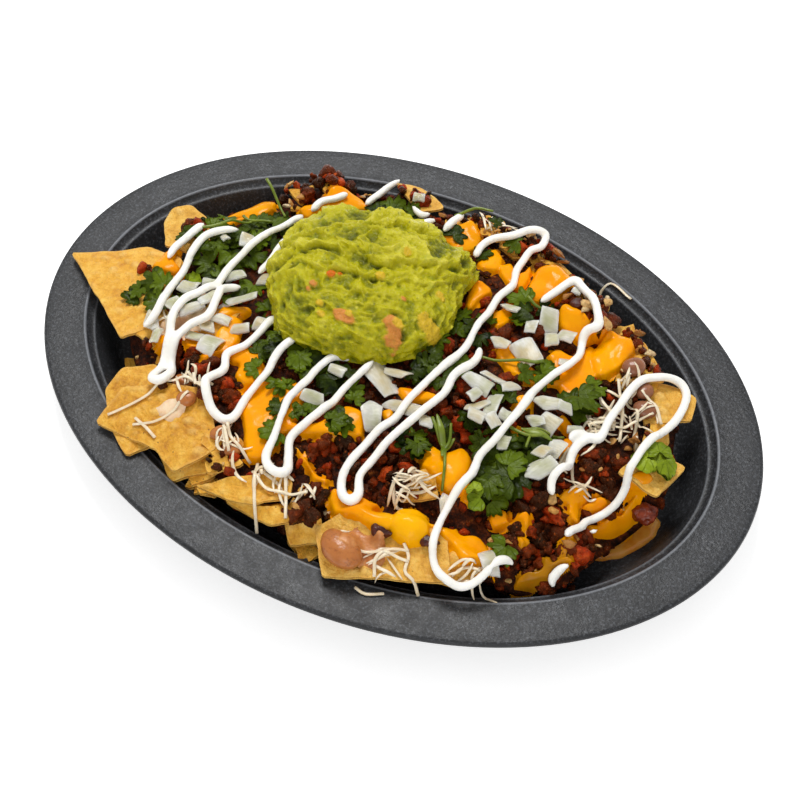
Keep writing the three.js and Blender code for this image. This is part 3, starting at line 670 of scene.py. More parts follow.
def crisp_look():
    k = Look("tan_bits", Roughness=0.45, Specular_IOR_Level=0.25, Subsurface_Weight=0.1,
             Subsurface_Scale=0.001)
    tone = k.ramp(
        k.painted("tone"), (0.0, rgb(150, 92, 36)), (0.4, rgb(206, 150, 74)), (0.75, rgb(224, 184, 118)),
        (1.0, rgb(226, 208, 168)))
    colour = k.tint(tone, rgb(130, 76, 30), k.noise(1.2, 3), (0.35, 0.5), (0.6, 0.0))
    return k.done(colour, k.bump(k.noise(0.8, 3), 0.5))


def plain_food(name, low, high, size=4, rough=0.35, bump=0.2, subsurface=0.2, fine=1.2):
    """A food of one colour that wanders between two shades."""
    k = Look(name, Roughness=rough, Specular_IOR_Level=0.4, Subsurface_Weight=subsurface,
             Subsurface_Scale=0.002, Subsurface_Radius=(1.0, 0.7, 0.4))
    return k.done(k.ramp(k.noise(size, 3), (0.3, low), (0.7, high)), k.bump(k.noise(fine, 3), bump))


# ------------------------------------------------------------------ platter


def make_platter():
    """The moulded plate: its section run round in ovals, from the underside's middle to the well's."""
    sides = 220
    corners = UNDERSIDE + RIM_SECTION[1:]
    section = []
    for (a, za), (b, zb) in zip(corners, corners[1:]):
        pieces = max(1, min(6, int(abs(a - b) / 4)))  # flat stretches are split
        section += [(a + (b - a) * k / pieces, za + (zb - za) * k / pieces) for k in range(pieces)]
    inset, height = np.array([p for p in section if p[0] < HALF_LENGTH - 1]).T
    angle = np.arange(sides) * TAU / sides
    radius = (HALF_LENGTH - inset)[:, None]
    ovals = (radius * np.cos(angle), radius * squash_factor(radius) * np.sin(angle), height[:, None])
    rings = np.stack(np.broadcast_arrays(*ovals), -1).reshape(-1, 3)
    verts = np.concatenate([rings, [[0, 0, 0], [0, 0, WELL_FLOOR]]])
    n = len(rings)
    ring = np.arange(sides)
    after = (ring + 1) % sides
    bottom = np.stack([np.full(sides, n), after, ring], 1)
    top = np.stack([np.full(sides, n + 1), n - sides + ring, n - sides + after], 1)
    upper = np.arange(len(inset)) > inset.argmin()
    # painted highlight: lighter lines along the edges of the two steps, where a glossy edge would catch the
    # lamp
    worn = upper * (0.32 * (abs(inset - 18.85) < 0.36) + 0.16 * (abs(inset - 22.6) < 0.25))
    # painted shade: the outer lip, where it turns down, is darkened
    edge = 0.9 * (inset < 0.3)
    worn, edge = (np.append(np.repeat(values, sides), (0, 0)) for values in (worn, edge))
    faces = [wrap_grid(len(inset), sides), bottom, top]
    ob = build("platter_body", verts, faces, platter_look(), worn=worn, edge=edge)
    finish_piece(ob, "platter", "platter")


make_platter()

# ------------------------------------------------------------------ the heap's base


def core_height(x, y):
    """The height of the dark filling under everything, down to its rounded edge."""
    oval = np.hypot((x - HEAP_X) / HEAP_HALF_LENGTH, (y - HEAP_Y) / HEAP_HALF_WIDTH)
    lumps = 1.5 * fbm(flat(x, y), 13, 3, 5).reshape(np.shape(x))
    pile = 11 * np.exp(-(((x + 84) / 15) ** 2) - ((y - 75) / 11) ** 2)  # high at the back left
    slump = 14 * np.exp(-(((x - 127) / 17) ** 2) - ((y + 22) / 16) ** 2)  # towards the puddle
    return mound(x, y) - 1.6 - 5 * np.clip(oval, 0, 1.03) ** 14 + lumps + pile - slump


def make_core():
    sides, rings = 300, 60
    angle = np.arange(sides) * TAU / sides
    rows = []
    for share in np.linspace(0.01, 1, rings):
        x, y = heap_place(share, angle)
        rows.append(np.stack([x, y, core_height(x, y)], 1))
    edge = rows[-1]
    for down in np.linspace(0.12, 1, 9):
        x, y, z = flank_place(*edge.T, down)
        bulge = 1 + 0.022 * noise(np.stack([x, y, z], 1), 6, 3) * (1 - down)
        rows.append(np.stack([HEAP_X + (x - HEAP_X) * bulge, HEAP_Y + (y - HEAP_Y) * bulge, z], 1))
    cap = np.arange(sides)[None, :]
    faces = [wrap_grid(len(rows), sides)[:, ::-1], cap, cap[:, ::-1] + (len(rows) - 1) * sides]
    finish_piece(build("heap_filling", np.concatenate(rows), faces, filling_and_gap_shade_look()), "filling", "nacho_heap")


make_core()
inside = heap_share(XX, YY) < 1
ground.z = np.where(inside, np.maximum(ground.z, core_height(XX, YY)), ground.z)

# ------------------------------------------------------------------ where sauce lies and chips stay bare

SAUCE = [  # depth, outline
    (3.5, [(-120, -2), (-119, 2), (-114, -2), (-111, -9), (-106, -12), (-105, -15), (-110, -19),
        (-118, -18), (-119, -12), (-120, -5)]),
    (3.5, [(-114, 23), (-114, 30), (-111, 34), (-106, 37), (-104, 43), (-101, 47), (-95, 49), (-97, 45),
        (-100, 39), (-101, 35), (-106, 33), (-108, 27), (-110, 23)]),
    (2.5, [(-91, -50), (-90, -47), (-85, -47), (-84, -51), (-87, -53)]),
    (2.2, [(-79, -44), (-79, -40), (-76, -38), (-72, -40), (-70, -44), (-74, -48)]),
    (2.2, [(-74, -27), (-74, -21), (-70, -17), (-65, -14), (-63, -17), (-67, -22), (-69, -27),
        (-72, -31)]),
    (2.0, [(-62, -41), (-59, -37), (-57, -40), (-60, -45), (-65, -46)]),
    (3.0, [(-68, -29), (-68, -24), (-63, -23), (-59, -28), (-57, -35), (-57, -41), (-60, -46), (-62, -51),
        (-66, -49), (-63, -43), (-67, -38), (-68, -34)]),
    (3.5, [(-58, -42), (-56, -36), (-51, -33), (-44, -34), (-39, -39), (-36, -45), (-37, -50), (-41, -53),
        (-47, -51), (-49, -45), (-53, -45)]),
    (4.0, [(-37, -60), (-38, -54), (-37, -49), (-34, -44), (-28, -41), (-20, -39), (-15, -43), (-11, -53),
        (-10, -57), (-1, -52), (1, -41), (5, -38), (11, -39), (16, -45), (17, -50), (5, -57), (-5, -61),
        (-11, -63), (-12, -69), (-12, -75), (-15, -80), (-20, -80), (-27, -72)]),
    (3.0, [(17, -21), (22, -18), (29, -17), (36, -18), (36, -21), (30, -23), (23, -25)]),
    (2.0, [(17, -34), (20, -31), (23, -33), (23, -37), (20, -37)]),
    (2.6, [(-4, -68), (-2, -67), (2, -69), (6, -70), (11, -72), (16, -72), (17, -75), (11, -76), (7, -73),
        (2, -71)]),
    (4.5, [(20, -77), (23, -74), (29, -73), (37, -72), (40, -72), (40, -76), (46, -73), (51, -73),
        (51, -69), (55, -66), (59, -65), (61, -67), (65, -66), (70, -65), (71, -63), (74, -65), (80, -61),
        (87, -64), (91, -69), (92, -74), (89, -77), (84, -78), (78, -75), (74, -72), (70, -71), (64, -71),
        (64, -75), (60, -79), (55, -80), (51, -80), (49, -83), (45, -84), (37, -84), (30, -84),
        (25, -83)]),
    (5.5, [(39, -41), (43, -37), (50, -36), (54, -31), (59, -32), (63, -38), (65, -44), (65, -51),
        (61, -53), (57, -52), (50, -51), (45, -48)]),
    (3.0, [(65, -49), (66, -45), (71, -48), (71, -51), (68, -53)]),
    (5.5, [(-84, 51), (-81, 57), (-78, 62), (-77, 68), (-72, 74), (-66, 75), (-59, 74), (-55, 69),
        (-61, 64), (-67, 58), (-73, 52), (-78, 48)]),
    (4.5, [(-120, 32), (-120, 39), (-116, 42), (-112, 45), (-110, 51), (-106, 54), (-98, 52), (-96, 46),
        (-98, 40), (-104, 36), (-110, 35), (-113, 29)]),
    (7.5, [(47.5, -73), (50, -68), (56, -65.5), (62, -68), (64.5, -74), (62, -80), (56, -82), (50, -80)]),
    (4.5, [(-21, 68), (-16, 75), (-12, 82), (-8, 86), (-1, 81), (3, 75), (1, 69), (-5, 65), (-10, 67),
        (-15, 65)]),
    (4.0, [(6, 67), (7, 74), (12, 77), (17, 73), (19, 65), (15, 60), (11, 60)]),
    (3.5, [(17, 67), (21, 72), (27, 69), (29, 76), (34, 68), (34, 60), (29, 58), (23, 60)]),
    (6.0, [(34, 54), (34, 63), (33, 73), (37, 79), (43, 81), (49, 77), (53, 72), (51, 67), (51, 61),
        (47, 56), (41, 52), (37, 48), (34, 46), (32, 50)]),
    (3.5, [(15, 40), (15, 49), (21, 51), (24, 48), (22, 41), (20, 35)]),
    (3.0, [(30, 38), (33, 45), (38, 46), (39, 39), (39, 33), (36, 30), (32, 33)]),
    (3.5, [(42, 20), (45, 26), (51, 24), (60, 21), (66, 20), (66, 26), (61, 30), (64, 37), (71, 38),
        (74, 47), (80, 45), (84, 37), (85, 27), (84, 18), (80, 13), (73, 17), (67, 13), (61, 11), (54, 11),
        (47, 14)]),
    (3.5, [(54, 57), (59, 59), (66, 56), (73, 52), (72, 45), (67, 45), (61, 46), (56, 50)]),
    (6.5, [(77, 40), (77, 48), (79, 56), (84, 59), (89, 58), (93, 53), (93, 46), (91, 40), (89, 34),
        (85, 32), (80, 36)]),
    (3.0, [(62, -2), (65, 4), (69, 5), (70, -2), (67, -5)]),
    (3.0, [(81, 6), (85, 6), (90, 3), (88, 0), (83, 1)]),
    (3.0, [(69, -12), (70, -9), (74, -11), (76, -16), (73, -19)]),
    (3.5, [(87, -5), (91, -1), (95, -3), (96, -11), (95, -15), (91, -12)]),
    (4.0, [(100, -31), (99, -26), (101, -22), (104.6, -19.5), (108, -20), (109, -22), (107, -25),
        (109.5, -29.5), (111, -33), (109.5, -35), (105, -33), (103, -29.5)]),
    (4.0, [(108, -25), (108.5, -21), (111, -17), (114.6, -15.8), (116.5, -17), (115, -21), (112, -25)]),
    (3.0, [(113, -29), (118, -21.5), (121.5, -15), (122.5, -12), (124, -8.5), (126, -10), (127, -14.5),
        (125, -19), (120.5, -25), (116.5, -30)]),
    (2.2, [(119, -7), (121, -3), (125, -1), (128, -2), (127, -6), (124, -9), (120, -10)]),
    (2.0, [(109, -46), (110, -41), (112, -41), (112, -46), (111, -50)]),
    (3.5, [(79, -50), (81, -46), (85, -46), (88, -49), (90, -45), (93, -44), (95, -47), (95, -50),
        (91, -49), (87, -52), (84, -55), (81, -54)]),
    (2.0, [(94, -55), (95, -53), (98, -54), (97, -57)]),
    (3.2, [(101, -66), (103, -63), (106, -61), (107.5, -58.5), (106.5, -55), (110, -54.6), (112, -52.4),
        (116, -50.5), (117.5, -51.5), (115.7, -53.3), (113, -55), (111.5, -58), (111.3, -62.4), (110, -65),
        (107.5, -67.5), (104, -69.4), (101.5, -68.5)]),
]
OLIVE_SAUCE = (109, -61, 14)  # x, y, reach of the stretch with another colour
# painted light: the front dome of sauce, which faces away from the key lamp, is painted a brighter yellow; x,
# y, reach
PAINTED_LIGHT_DOME = (56, -74, 12)


def sauce_layers(x, y):
    """For a grid in plan: distance inside the nearest sauce outline, and the sauce's depth there."""
    wobble = 0.6 * fbm(flat(x, y), 7, 3, 41).reshape(x.shape)
    best = np.full(x.shape, -9.0)
    depth = np.full(x.shape, -9.0)
    for thick, outline in SAUCE:
        curve = closed_curve(outline)
        low, high = curve.min(0) - 4, curve.max(0) + 4
        rows = slice(*np.searchsorted(y[:, 0], (low[1], high[1])))
        w = (rows, slice(*np.searchsorted(x[0], (low[0], high[0]))))
        d = depth_inside(x[w], y[w], curve) + wobble[w] + 0.5
        edge = min(7, 1.1 * thick)
        round_edge = np.sqrt(np.clip(1 - (1 - np.clip(d / edge, 0, 1)) ** 2, 0, 1))
        here = thick * round_edge + np.clip(d - 3, 0, 7) * 0.12
        depth[w] = np.maximum(depth[w], np.where(d > 0, here, d))
        best[w] = np.maximum(best[w], d)
    within = (0.99 - heap_share(x, y)) * 105  # it stops at the heap's edge
    return np.minimum(best, within), np.minimum(depth, 1.5 * within + 1)


# ------------------------------------------------------------------ chips

CHIP_THICKNESS = 1.7
CHIP_LIFT = 1.7
CHIPS = {
    "chip_left": [(-161, -26, 1), (-131, -4, 1), (-108, -6, 1), (-93, -44, 1), (-105, -57, 1)],
    "chip_left_back": [(-109, -2, 0), (-124, -1, 0), (-135, 12, 1), (-135, 20, 3), (-129, 26, 3),
                       (-118, 24, 1), (-106, 14, 0)],
    "chip_front_left": [(-88, -97, 1), (-87, -78, 3), (-71, -68, 2), (-50, -62, 2), (-31, -84, 2),
                        (-35, -92, 3), (-42, -101, 1), (-55, -96, 1), (-64, -96, 1)],
    "chip_front_left_under": [(-96, -81, 0), (-95, -68, 0), (-82, -60, 0), (-68, -70, 0), (-58, -90, -3),
                              (-66, -103, -1), (-80, -96, 0)],
    "chip_front_small": [(-35, -88, -1), (-27, -82, 0), (-21, -86, 0), (-28, -95, 1)],
    "chip_front_middle": [(-32, -101, 1), (-20, -92, 3), (-9, -84, 1), (4, -80, 1), (8, -88, 2),
                          (-3, -98, 2), (-12, -99, 0)],
    "chip_front_under": [(-18, -99, -3), (8, -88, -2), (16, -94, -1), (6, -101, -2)],
    "chip_front_right": [(22, -93, 1), (36, -109, 1), (63, -95, 1), (82, -85, 1), (70, -68, 1), (30, -80, 1)],
    "chip_right_back": [(104, 44, 0), (117, 49, 1), (126, 48, 2), (129, 35, 2), (112, 21, 0)],
    "chip_right": [(119, 11, 1), (137, 12, 2), (133, -8, 1), (114, -8, 0)],
    "chip_back": [(-55, 92, 1), (-40, 98, 1), (-24, 89, 1), (-32, 78, 0)],
    "chip_back_middle": [(-9, 86, 0), (2, 92, 1), (16, 92, 1), (10, 81, 0)],
    "chip_back_right": [(52, 75, 0), (68, 70, 1), (75, 59, 1), (61, 60, 0)],
    "chip_right_edge": [(83, 66, 0), (95, 61, 1), (108, 50, 1), (100, 42, 0)],
    "chip_centre": [(40, -56, 1), (52, -47, 1), (60, -58, 1), (47, -67, 1)],
}
BURIED_CHIPS = [  # more chips that only peep out: corners with their lift
    [(-108, -52, 0), (-104, -30, 1), (-90, -34, 1), (-92, -54, 0)],
    [(-86, -30, -3), (-84, -16, -3), (-66, -18, -2), (-66, -38, -2), (-78, -40, -2)],
    [(-60, -92, -4), (-40, -80, -1), (-30, -92, -3), (-44, -102, -5)],
    [(66, -88, -4), (74, -72, 0), (92, -70, -1), (88, -82, -4)],
    [(84, 54, -2), (96, 58, -1), (108, 44, -1), (100, 32, 0)],
    [(56, 60, -1), (64, 72, -1), (76, 62, -1), (70, 52, 0)],
    [(36, 74, -1), (44, 84, -2), (58, 74, -1), (50, 64, 0)],
    [(112, 30, -2), (118, 34, -1), (126, 20, -2), (116, 12, 0)],
    [(20, 88, -4), (36, 92, -3), (50, 84, -3), (40, 76, -1)],
    [(4, -90, -4), (22, -86, -1), (30, -94, -3), (16, -102, -5)],
    [(-124, -20, -3), (-116, -2, 0), (-104, -10, 0), (-108, -28, -1)],
]
BARE_CHIPS = ("chip_left", "chip_left_back", "chip_front_left", "chip_front_left_under", "chip_front_middle",
              "chip_front_right", "chip_right_back", "chip_right", "chip_back")
DEEP_CHIPS = ("chip_front_left", "chip_front_left_under", "chip_front_small")  # fried a shade darker
PALE_CHIPS = ("chip_front_right", "chip_right_back", "chip_right", "chip_back", "chip_left_back")


def bed(x, y):
    """The height that the chips lie on, as in the CAD."""
    return np.maximum(mound(x, y), 25.6)


def chip_outline(corners):
    """The CAD chip's outline: corners with long edges split, as x, y and the middle surface's height."""
    points = []
    for (x, y, lift), (nx, ny, nlift) in zip(corners, corners[1:] + corners[:1]):
        pieces = max(1, round(math.hypot(nx - x, ny - y) / 22))
        for k in range(pieces):
            t = k / pieces
            height = (bed(x, y) + lift) * (1 - t) + (bed(nx, ny) + nlift) * t
            points.append((x + (nx - x) * t, y + (ny - y) * t, CHIP_LIFT + height))
    return np.array(points)


def chip_edge(corners, centre, seed, spacing):
    """A chip's outline, clockwise, with its corners clipped and its edge ragged: a point every spacing mm."""
    loop = np.array(corners, float)[:, :2]
    (ax, ay), (bx, by), (cx, cy) = loop[:3]
    if (bx - ax) * (cy - by) - (by - ay) * (cx - bx) > 0:
        loop = loop[::-1]
    following = np.roll(loop, -1, 0)
    length = np.linalg.norm(following - loop, axis=1)[:, None]
    cut = np.minimum(0.2, 1.0 / length)
    loop = np.stack([loop + (following - loop) * cut, following + (loop - following) * cut], 1).reshape(-1, 2)
    gaps = np.linalg.norm(np.roll(loop, -1, 0) - loop, axis=1)
    along = np.concatenate([[0], np.cumsum(gaps)])
    count = int(along[-1] / spacing)
    places = np.arange(count) * along[-1] / count
    ringed = np.vstack([loop, loop[:1]])
    edge = np.stack([np.interp(places, along, ringed[:, k]) for k in (0, 1)], 1)
    outward = edge - centre
    ragged = 0.7 * fbm(np.column_stack([edge, np.full(count, seed)]), 9, 3, seed)[:, None]
    return edge + outward / np.linalg.norm(outward, axis=1)[:, None] * (ragged - 0.4)


def bearing(points, centre):
    return np.arctan2(points[:, 1] - centre[1], points[:, 0] - centre[0]) % TAU


def chip_mesh(corners, seed, rings=26, spacing=1.5):
    """A blistered, slightly curled chip over the CAD chip's surface, with what to paint on it."""
    cad = chip_outline(corners)
    centre = cad[:, :2].mean(0)
    hub = max(cad[:, 2].mean(), bed(*centre) + CHIP_LIFT)
    edge = chip_edge(corners, centre, seed, spacing)
    edge_height = np.interp(bearing(edge, centre), bearing(cad, centre), cad[:, 2], period=TAU)
    shares = np.concatenate([np.linspace(0.02, 0.94, rings - 3), [0.975, 0.992, 1.0]])
    rows = [np.column_stack([centre + (edge - centre) * s, hub + (edge_height - hub) * s]) for s in shares]
    x, y, middle = np.concatenate(rows).T
    share = np.repeat(shares, len(edge))
    p = np.column_stack([x, y, np.full(len(x), seed * 3.7)])
    warped = p * (1.0, 1.35, 1) + 1.2 * np.column_stack([noise(p, 5, 1), noise(p, 5, 2), 0 * share])
    inner = np.clip((1 - share) * 8, 0, 1)  # no blister runs over the edge
    near, tag = cells(warped, 7.2, seed)
    big = np.clip(1 - (near / 0.42) ** 2, 0, 1) ** 0.8 * (tag > 0.42) * inner
    near, tag = cells(p, 3.6, seed + 1)
    small = np.clip(1 - (near / 0.4) ** 2, 0, 1) * (tag > 0.6) * inner
    curl = 1.1 * fbm(p, 24, 2, seed + 3) + 0.45 * noise(p, 8, seed + 5) + 0.15 * noise(p, 2.4, seed + 6)
    lift = 1.25 * big + 0.5 * small
    half = 0.5 * CHIP_THICKNESS * (0.72 + 0.28 * np.clip(1 - share**8, 0, 1))
    top, bottom = middle + (curl + half + lift), middle + (curl - half + 0.4 * lift)
    verts, faces = slab(x, y, top, bottom, rings, clockwise=True)
    return verts, faces, np.tile(share, 2), np.tile(np.clip(big + 0.6 * small, 0, 1), 2)


sauced = (sauce_layers(XX, YY)[0] > 0.6).astype(float)
taken = sauced.copy()  # 1 where a chip stays bare or sauce lies, so that no loose crumbs go there
for name in BARE_CHIPS:
    taken[depth_inside(XX, YY, np.array(CHIPS[name])[:, :2]) > -1.5] = 1


def free(x, y):
    return ground.at(x, y, taken) < 0.3


def make_chips():
    golden = chip_look("chip_golden", rgb(252, 204, 94), rgb(238, 176, 56), rgb(204, 134, 32))
    deep = chip_look("chip_deep", rgb(248, 196, 82), rgb(228, 164, 46), rgb(182, 114, 22))
    pale = chip_look("chip_pale", rgb(250, 206, 104), rgb(236, 180, 70), rgb(202, 140, 42))
    for number, (name, corners) in enumerate(CHIPS.items()):
        verts, faces, edge, blister = chip_mesh(corners, number + 1)
        look = deep if name in DEEP_CHIPS else pale if name in PALE_CHIPS else golden
        ob = build(name + "_crisp", verts, faces, look, edge=edge, blister=blister)
        finish_piece(ob, "tortilla_chip", name)
        ground.stamp_wide(verts)
    made = [chip_mesh(corners, number + 31, 15, 2.4) for number, corners in enumerate(BURIED_CHIPS)]
    made += [shard_mesh(*shard) for shard in chip_shards()]
    for part in made:
        ground.stamp_wide(part[0], 2)
    verts, faces, edge = join(made)
    ob = build("buried_chips", verts, faces, golden, edge=edge, blister=column(made, 3))
    finish_piece(ob, "tortilla_chip")


def chip_shards():
    """Broken corners of chips round the heap's edge: x, y, size, seed."""
    rng = np.random.default_rng(21)
    shards = []
    for k in range(120):
        a = rng.random() * TAU if k % 2 else rng.uniform(0.5, 1.7)
        x, y = heap_place(rng.uniform(0.84, 0.97), a)
        if free(x, y) and not in_pool(x, y):
            shards.append((x, y, rng.uniform(4, 9), k + 300))
    for k in range(170):  # low down, between the heap and the platter's wall
        x, y = heap_place(rng.uniform(1.0, 1.03), rng.uniform(-2.9, -0.95))
        if ground.at(x, y) < 21:
            shards.append((x, y, rng.uniform(4, 7), k + 500))
    return shards


def in_pool(x, y):
    return x > 104 and -36 < y < 8


def shard_mesh(x, y, size, seed):
    """One broken bit of chip lying tilted on the ground."""
    rng = np.random.default_rng(seed)
    angle = np.arange(26) * TAU / 26
    corners = rng.integers(3, 5)
    reach = cut_reach(rng, angle, corners, 0.25, (0.5, 0.75), 1.1, rng.random() * TAU)
    reach *= 1 + 0.05 * noise(np.column_stack([angle * 3, 0 * angle, 0 * angle + seed]), 0.7, seed)
    shares = np.array([0.05, 0.4, 0.75, 0.96, 1.0])
    u, v = (size * offsets for offsets in fan(shares, reach, angle))
    tilt = rng.normal(size=2) * 0.22
    z = tilt[0] * u + tilt[1] * v + 0.5 * noise(np.column_stack([u, v, 0 * u + seed]), 6, seed)
    z += np.mean(ground.at(u + x, v + y)) + 1.2
    half = 0.8
    verts, faces = slab(u + x, v + y, z + half, z - half, len(shares))
    return verts, faces, np.tile(np.repeat(shares, len(angle)), 2), np.zeros(len(verts))


# ------------------------------------------------------------------ crumbled chorizo

GUAC_X, GUAC_Y = -23, 19
GUAC_SHADOW = 36.8  # radius under the guacamole where nothing shows
CHORIZO = [  # x, y, half length, half width
    (-118, 14, 5, 4), (-117, -23, 8, 6), (-95, 3, 5, 4), (-76, -52, 8, 6), (-66, -53, 7, 6),
    (-54, -56, 9, 7), (-44, -54, 9, 7), (-46, -62, 9, 12), (-70, -70, 5, 3), (0, -66, 8, 8),
    (9, -60, 10, 9), (19, -55, 11, 9), (32, -50, 9, 8), (38, -56, 8, 8), (33, -66, 9, 7), (19, -70, 10, 8),
    (17, -80, 7, 6), (17, -91, 5, 4), (38, -18, 9, 10), (41, -9, 8, 9), (35, 10, 7, 9), (23, 45, 8, 9),
    (18, 66, 8, 9), (21, 88, 9, 7), (30, 91, 9, 7), (37, 24, 6, 8), (54, 35, 6, 5), (87, 28, 6, 12),
    (72, 60, 7, 7), (59, 8, 7, 7), (60, -5, 9, 9), (100, -4, 7, 8), (108, -8, 9, 10), (110, -16, 8, 8),
    (97, -39, 10, 9), (103, -32, 10, 8), (95, -50, 11, 10), (110, -42, 9, 9), (103, -56, 12, 9),
    (115, -49, 8, 8), (117, -39, 6, 6), (125, -11, 5, 5), (-84, 76, 8, 6), (-91, 66, 7, 6),
    (-76, 79, 6, 4), (-97, 59, 5, 4), (-62, 79, 6, 3), (-50, 86, 5, 4), (-38, 88, 5, 4), (-20, 88, 4, 3),
    (-102, 52, 5, 4), (74, 29, 9, 4), (46, -24, 8, 7), (108, -62, 8, 5), (116, -55, 5, 4), (99, -62, 8, 5),
    (-117, 10, 6, 4), (84, -30, 8, 10), (66, -44, 6, 7), (28, 8, 5, 14), (12, 58, 5, 10),
]


def blob(subdivisions):
    """Vertices and triangles of a unit ball, to be torn and lumped into food."""
    bpy.ops.mesh.primitive_ico_sphere_add(subdivisions=subdivisions, radius=1)
    ob = bpy.context.object
    verts = np.array([v.co for v in ob.data.vertices])
    faces = np.array([p.vertices[:] for p in ob.data.polygons])
    me = ob.data
    bpy.data.objects.remove(ob)
    bpy.data.meshes.remove(me)
    return verts, faces


BALL_ROUGH, BALL, BALL_FINE = blob(2), blob(3), blob(4)


def turn_matrix(rng):
    """A random rotation."""
    q = rng.normal(size=4)
    w, x, y, z = q / np.linalg.norm(q)
    return np.array([
        [1 - 2 * (y * y + z * z), 2 * (x * y - z * w), 2 * (x * z + y * w)],
        [2 * (x * y + z * w), 1 - 2 * (x * x + z * z), 2 * (y * z - x * w)],
        [2 * (x * z - y * w), 2 * (y * z + x * w), 1 - 2 * (x * x + y * y)],
    ])


def shave(verts, rng, cuts, low, high, share=1.0, stretch=1.0):
    """Cuts flat sides off a lump round the origin, low to high from its middle."""
    for _ in range(cuts):
        n = rng.normal(size=3) * (1, 1, stretch)
        n /= np.linalg.norm(n)
        over = np.clip(verts @ n - rng.uniform(low, high), 0, None)
        verts = verts - share * over[:, None] * n
    return verts


def crumb(rng, size, ball):
    """One torn, knobbly lump of about size mm across."""
    verts, faces = ball
    verts = shave(verts, rng, 3, 0.4, 0.8, 0.8)
    shift = rng.uniform(-99, 99, 3)
    out = 0.94 + 0.26 * noise(verts + shift, 0.9, 1)
    grains = 0.6 if ball is BALL_FINE else 0.85
    near, tag = cells(verts + 0.1 * noise(verts + shift, 0.3, 2)[:, None] + shift, grains, 3)
    out += 0.62 * grains * (0.5 - near) * (0.5 + tag)
    if ball is not BALL_ROUGH:
        out += 0.1 * noise(verts + shift, 0.3, 4)
    verts = verts * out[:, None] * rng.uniform((0.85, 0.7, 0.62), (1.4, 1.1, 0.95)) * size * 0.58
    return verts @ turn_matrix(rng).T, faces


def in_guacamole(x, y):
    return (x - GUAC_X) ** 2 + (y - GUAC_Y) ** 2 < GUAC_SHADOW**2


def chorizo_spots(rng):
    """Where the lumps of sausage lie that the photo shows, round the patches above: x, y, size, ball."""
    spots = []
    for x, y, a, b in CHORIZO:
        for _ in range(int(a * b * 0.11) + 3):
            r, t = math.sqrt(rng.random()), rng.random() * TAU
            size = 3.0 + 5.0 * rng.random() ** 1.5
            px, py = x + a * r * math.cos(t), y + b * r * math.sin(t)
            if ground.at(px, py, sauced) < 0.5:
                spots.append((px, py, size, BALL if size < 7.4 else BALL_FINE))
    return spots


def small_spots(rng):
    """Small crumbs all through the filling."""
    spots = []
    for _ in range(2500):
        x, y = heap_place(math.sqrt(rng.random()) * 0.98, rng.random() * TAU)
        if free(x, y) and not in_guacamole(x, y) and rng.random() < (0.85 if x > -40 or y > 45 else 0.2):
            spots.append((x, y, 1.6 + 3.6 * rng.random() ** 1.8, BALL_ROUGH))
    return spots


def flank_crumb(rng):
    """A crumb stuck on the heap's flank."""
    angle, down = rng.random() * TAU, rng.uniform(0.02, 0.75)
    x, y = heap_place(1, angle)
    place = flank_place(x, y, float(core_height(np.array(x), np.array(y))), down)
    verts, faces = crumb(rng, rng.uniform(2.4, 5.2), BALL_ROUGH)
    return verts + place, faces, np.full(len(verts), rng.beta(1.7, 2.0))


def make_chorizo():
    rng = np.random.default_rng(5)
    spots = chorizo_spots(rng)
    large = len(spots)
    spots += small_spots(rng)
    lumps, crumbs = [], []
    bare = ground.z.copy()
    for k in sorted(range(len(spots)), key=lambda k: (k < large, spots[k][2] * rng.random())):
        x, y, size, ball = spots[k]
        verts, faces = crumb(rng, size, ball)
        z = min(ground.at(x, y), ground.at(x, y, bare) + 1.8) + size * (0.1 if k < large else 0.0)
        tone = np.clip(rng.beta(1.7, 2.0) + 0.15 * noise(verts + (x, y, z), 2, 6), 0, 1)
        (lumps if k < large else crumbs).append((verts + (x, y, z), faces, tone))
        if k < large:
            ground.stamp_wide(verts + (x, y, z - 0.4))
        else:
            ground.lump(x, y, size * 0.6, z + size * 0.46, size * 0.5)
    crumbs += [flank_crumb(rng) for _ in range(360)]
    look = meat_look()
    for name, parts in (("chorizo_crumbs", lumps), ("filling_crumbs", crumbs)):
        verts, faces, tone = join(parts)
        finish_piece(build(name, verts, faces, look, tone=tone), "filling")


def make_bits():
    """Small broken bits of chip and melted cheese between the crumbs, most of them near the heap's edge."""
    rng = np.random.default_rng(9)
    parts = []
    for _ in range(220):
        x, y = heap_place(rng.uniform(0.5, 1.0) ** 0.35 * 0.99, rng.random() * TAU)
        if not free(x, y) or in_guacamole(x, y):
            continue
        size = 1.8 + 4.4 * rng.random() ** 2
        ball, faces = BALL_ROUGH
        u, v, w = (shave(ball, rng, 7, 0.25, 0.7, stretch=0.3) * (1.1, 0.8, 0.3) * size * 0.75).T
        tilt = rng.normal(size=2) * 0.35
        w = w + u * tilt[0] + v * tilt[1]
        u, v = turned(u, v, rng.random() * TAU)
        z = ground.at(x, y) + 0.25 * size
        parts.append((np.column_stack([u + x, v + y, w + z]), faces, np.full(len(u), rng.random())))
        ground.lump(x, y, size * 0.5, z + size * 0.3, size * 0.4)
    verts, faces, tone = join(parts)
    finish_piece(build("crisp_bits", verts, faces, crisp_look(), tone=tone), "filling")


# ------------------------------------------------------------------ cheese sauce


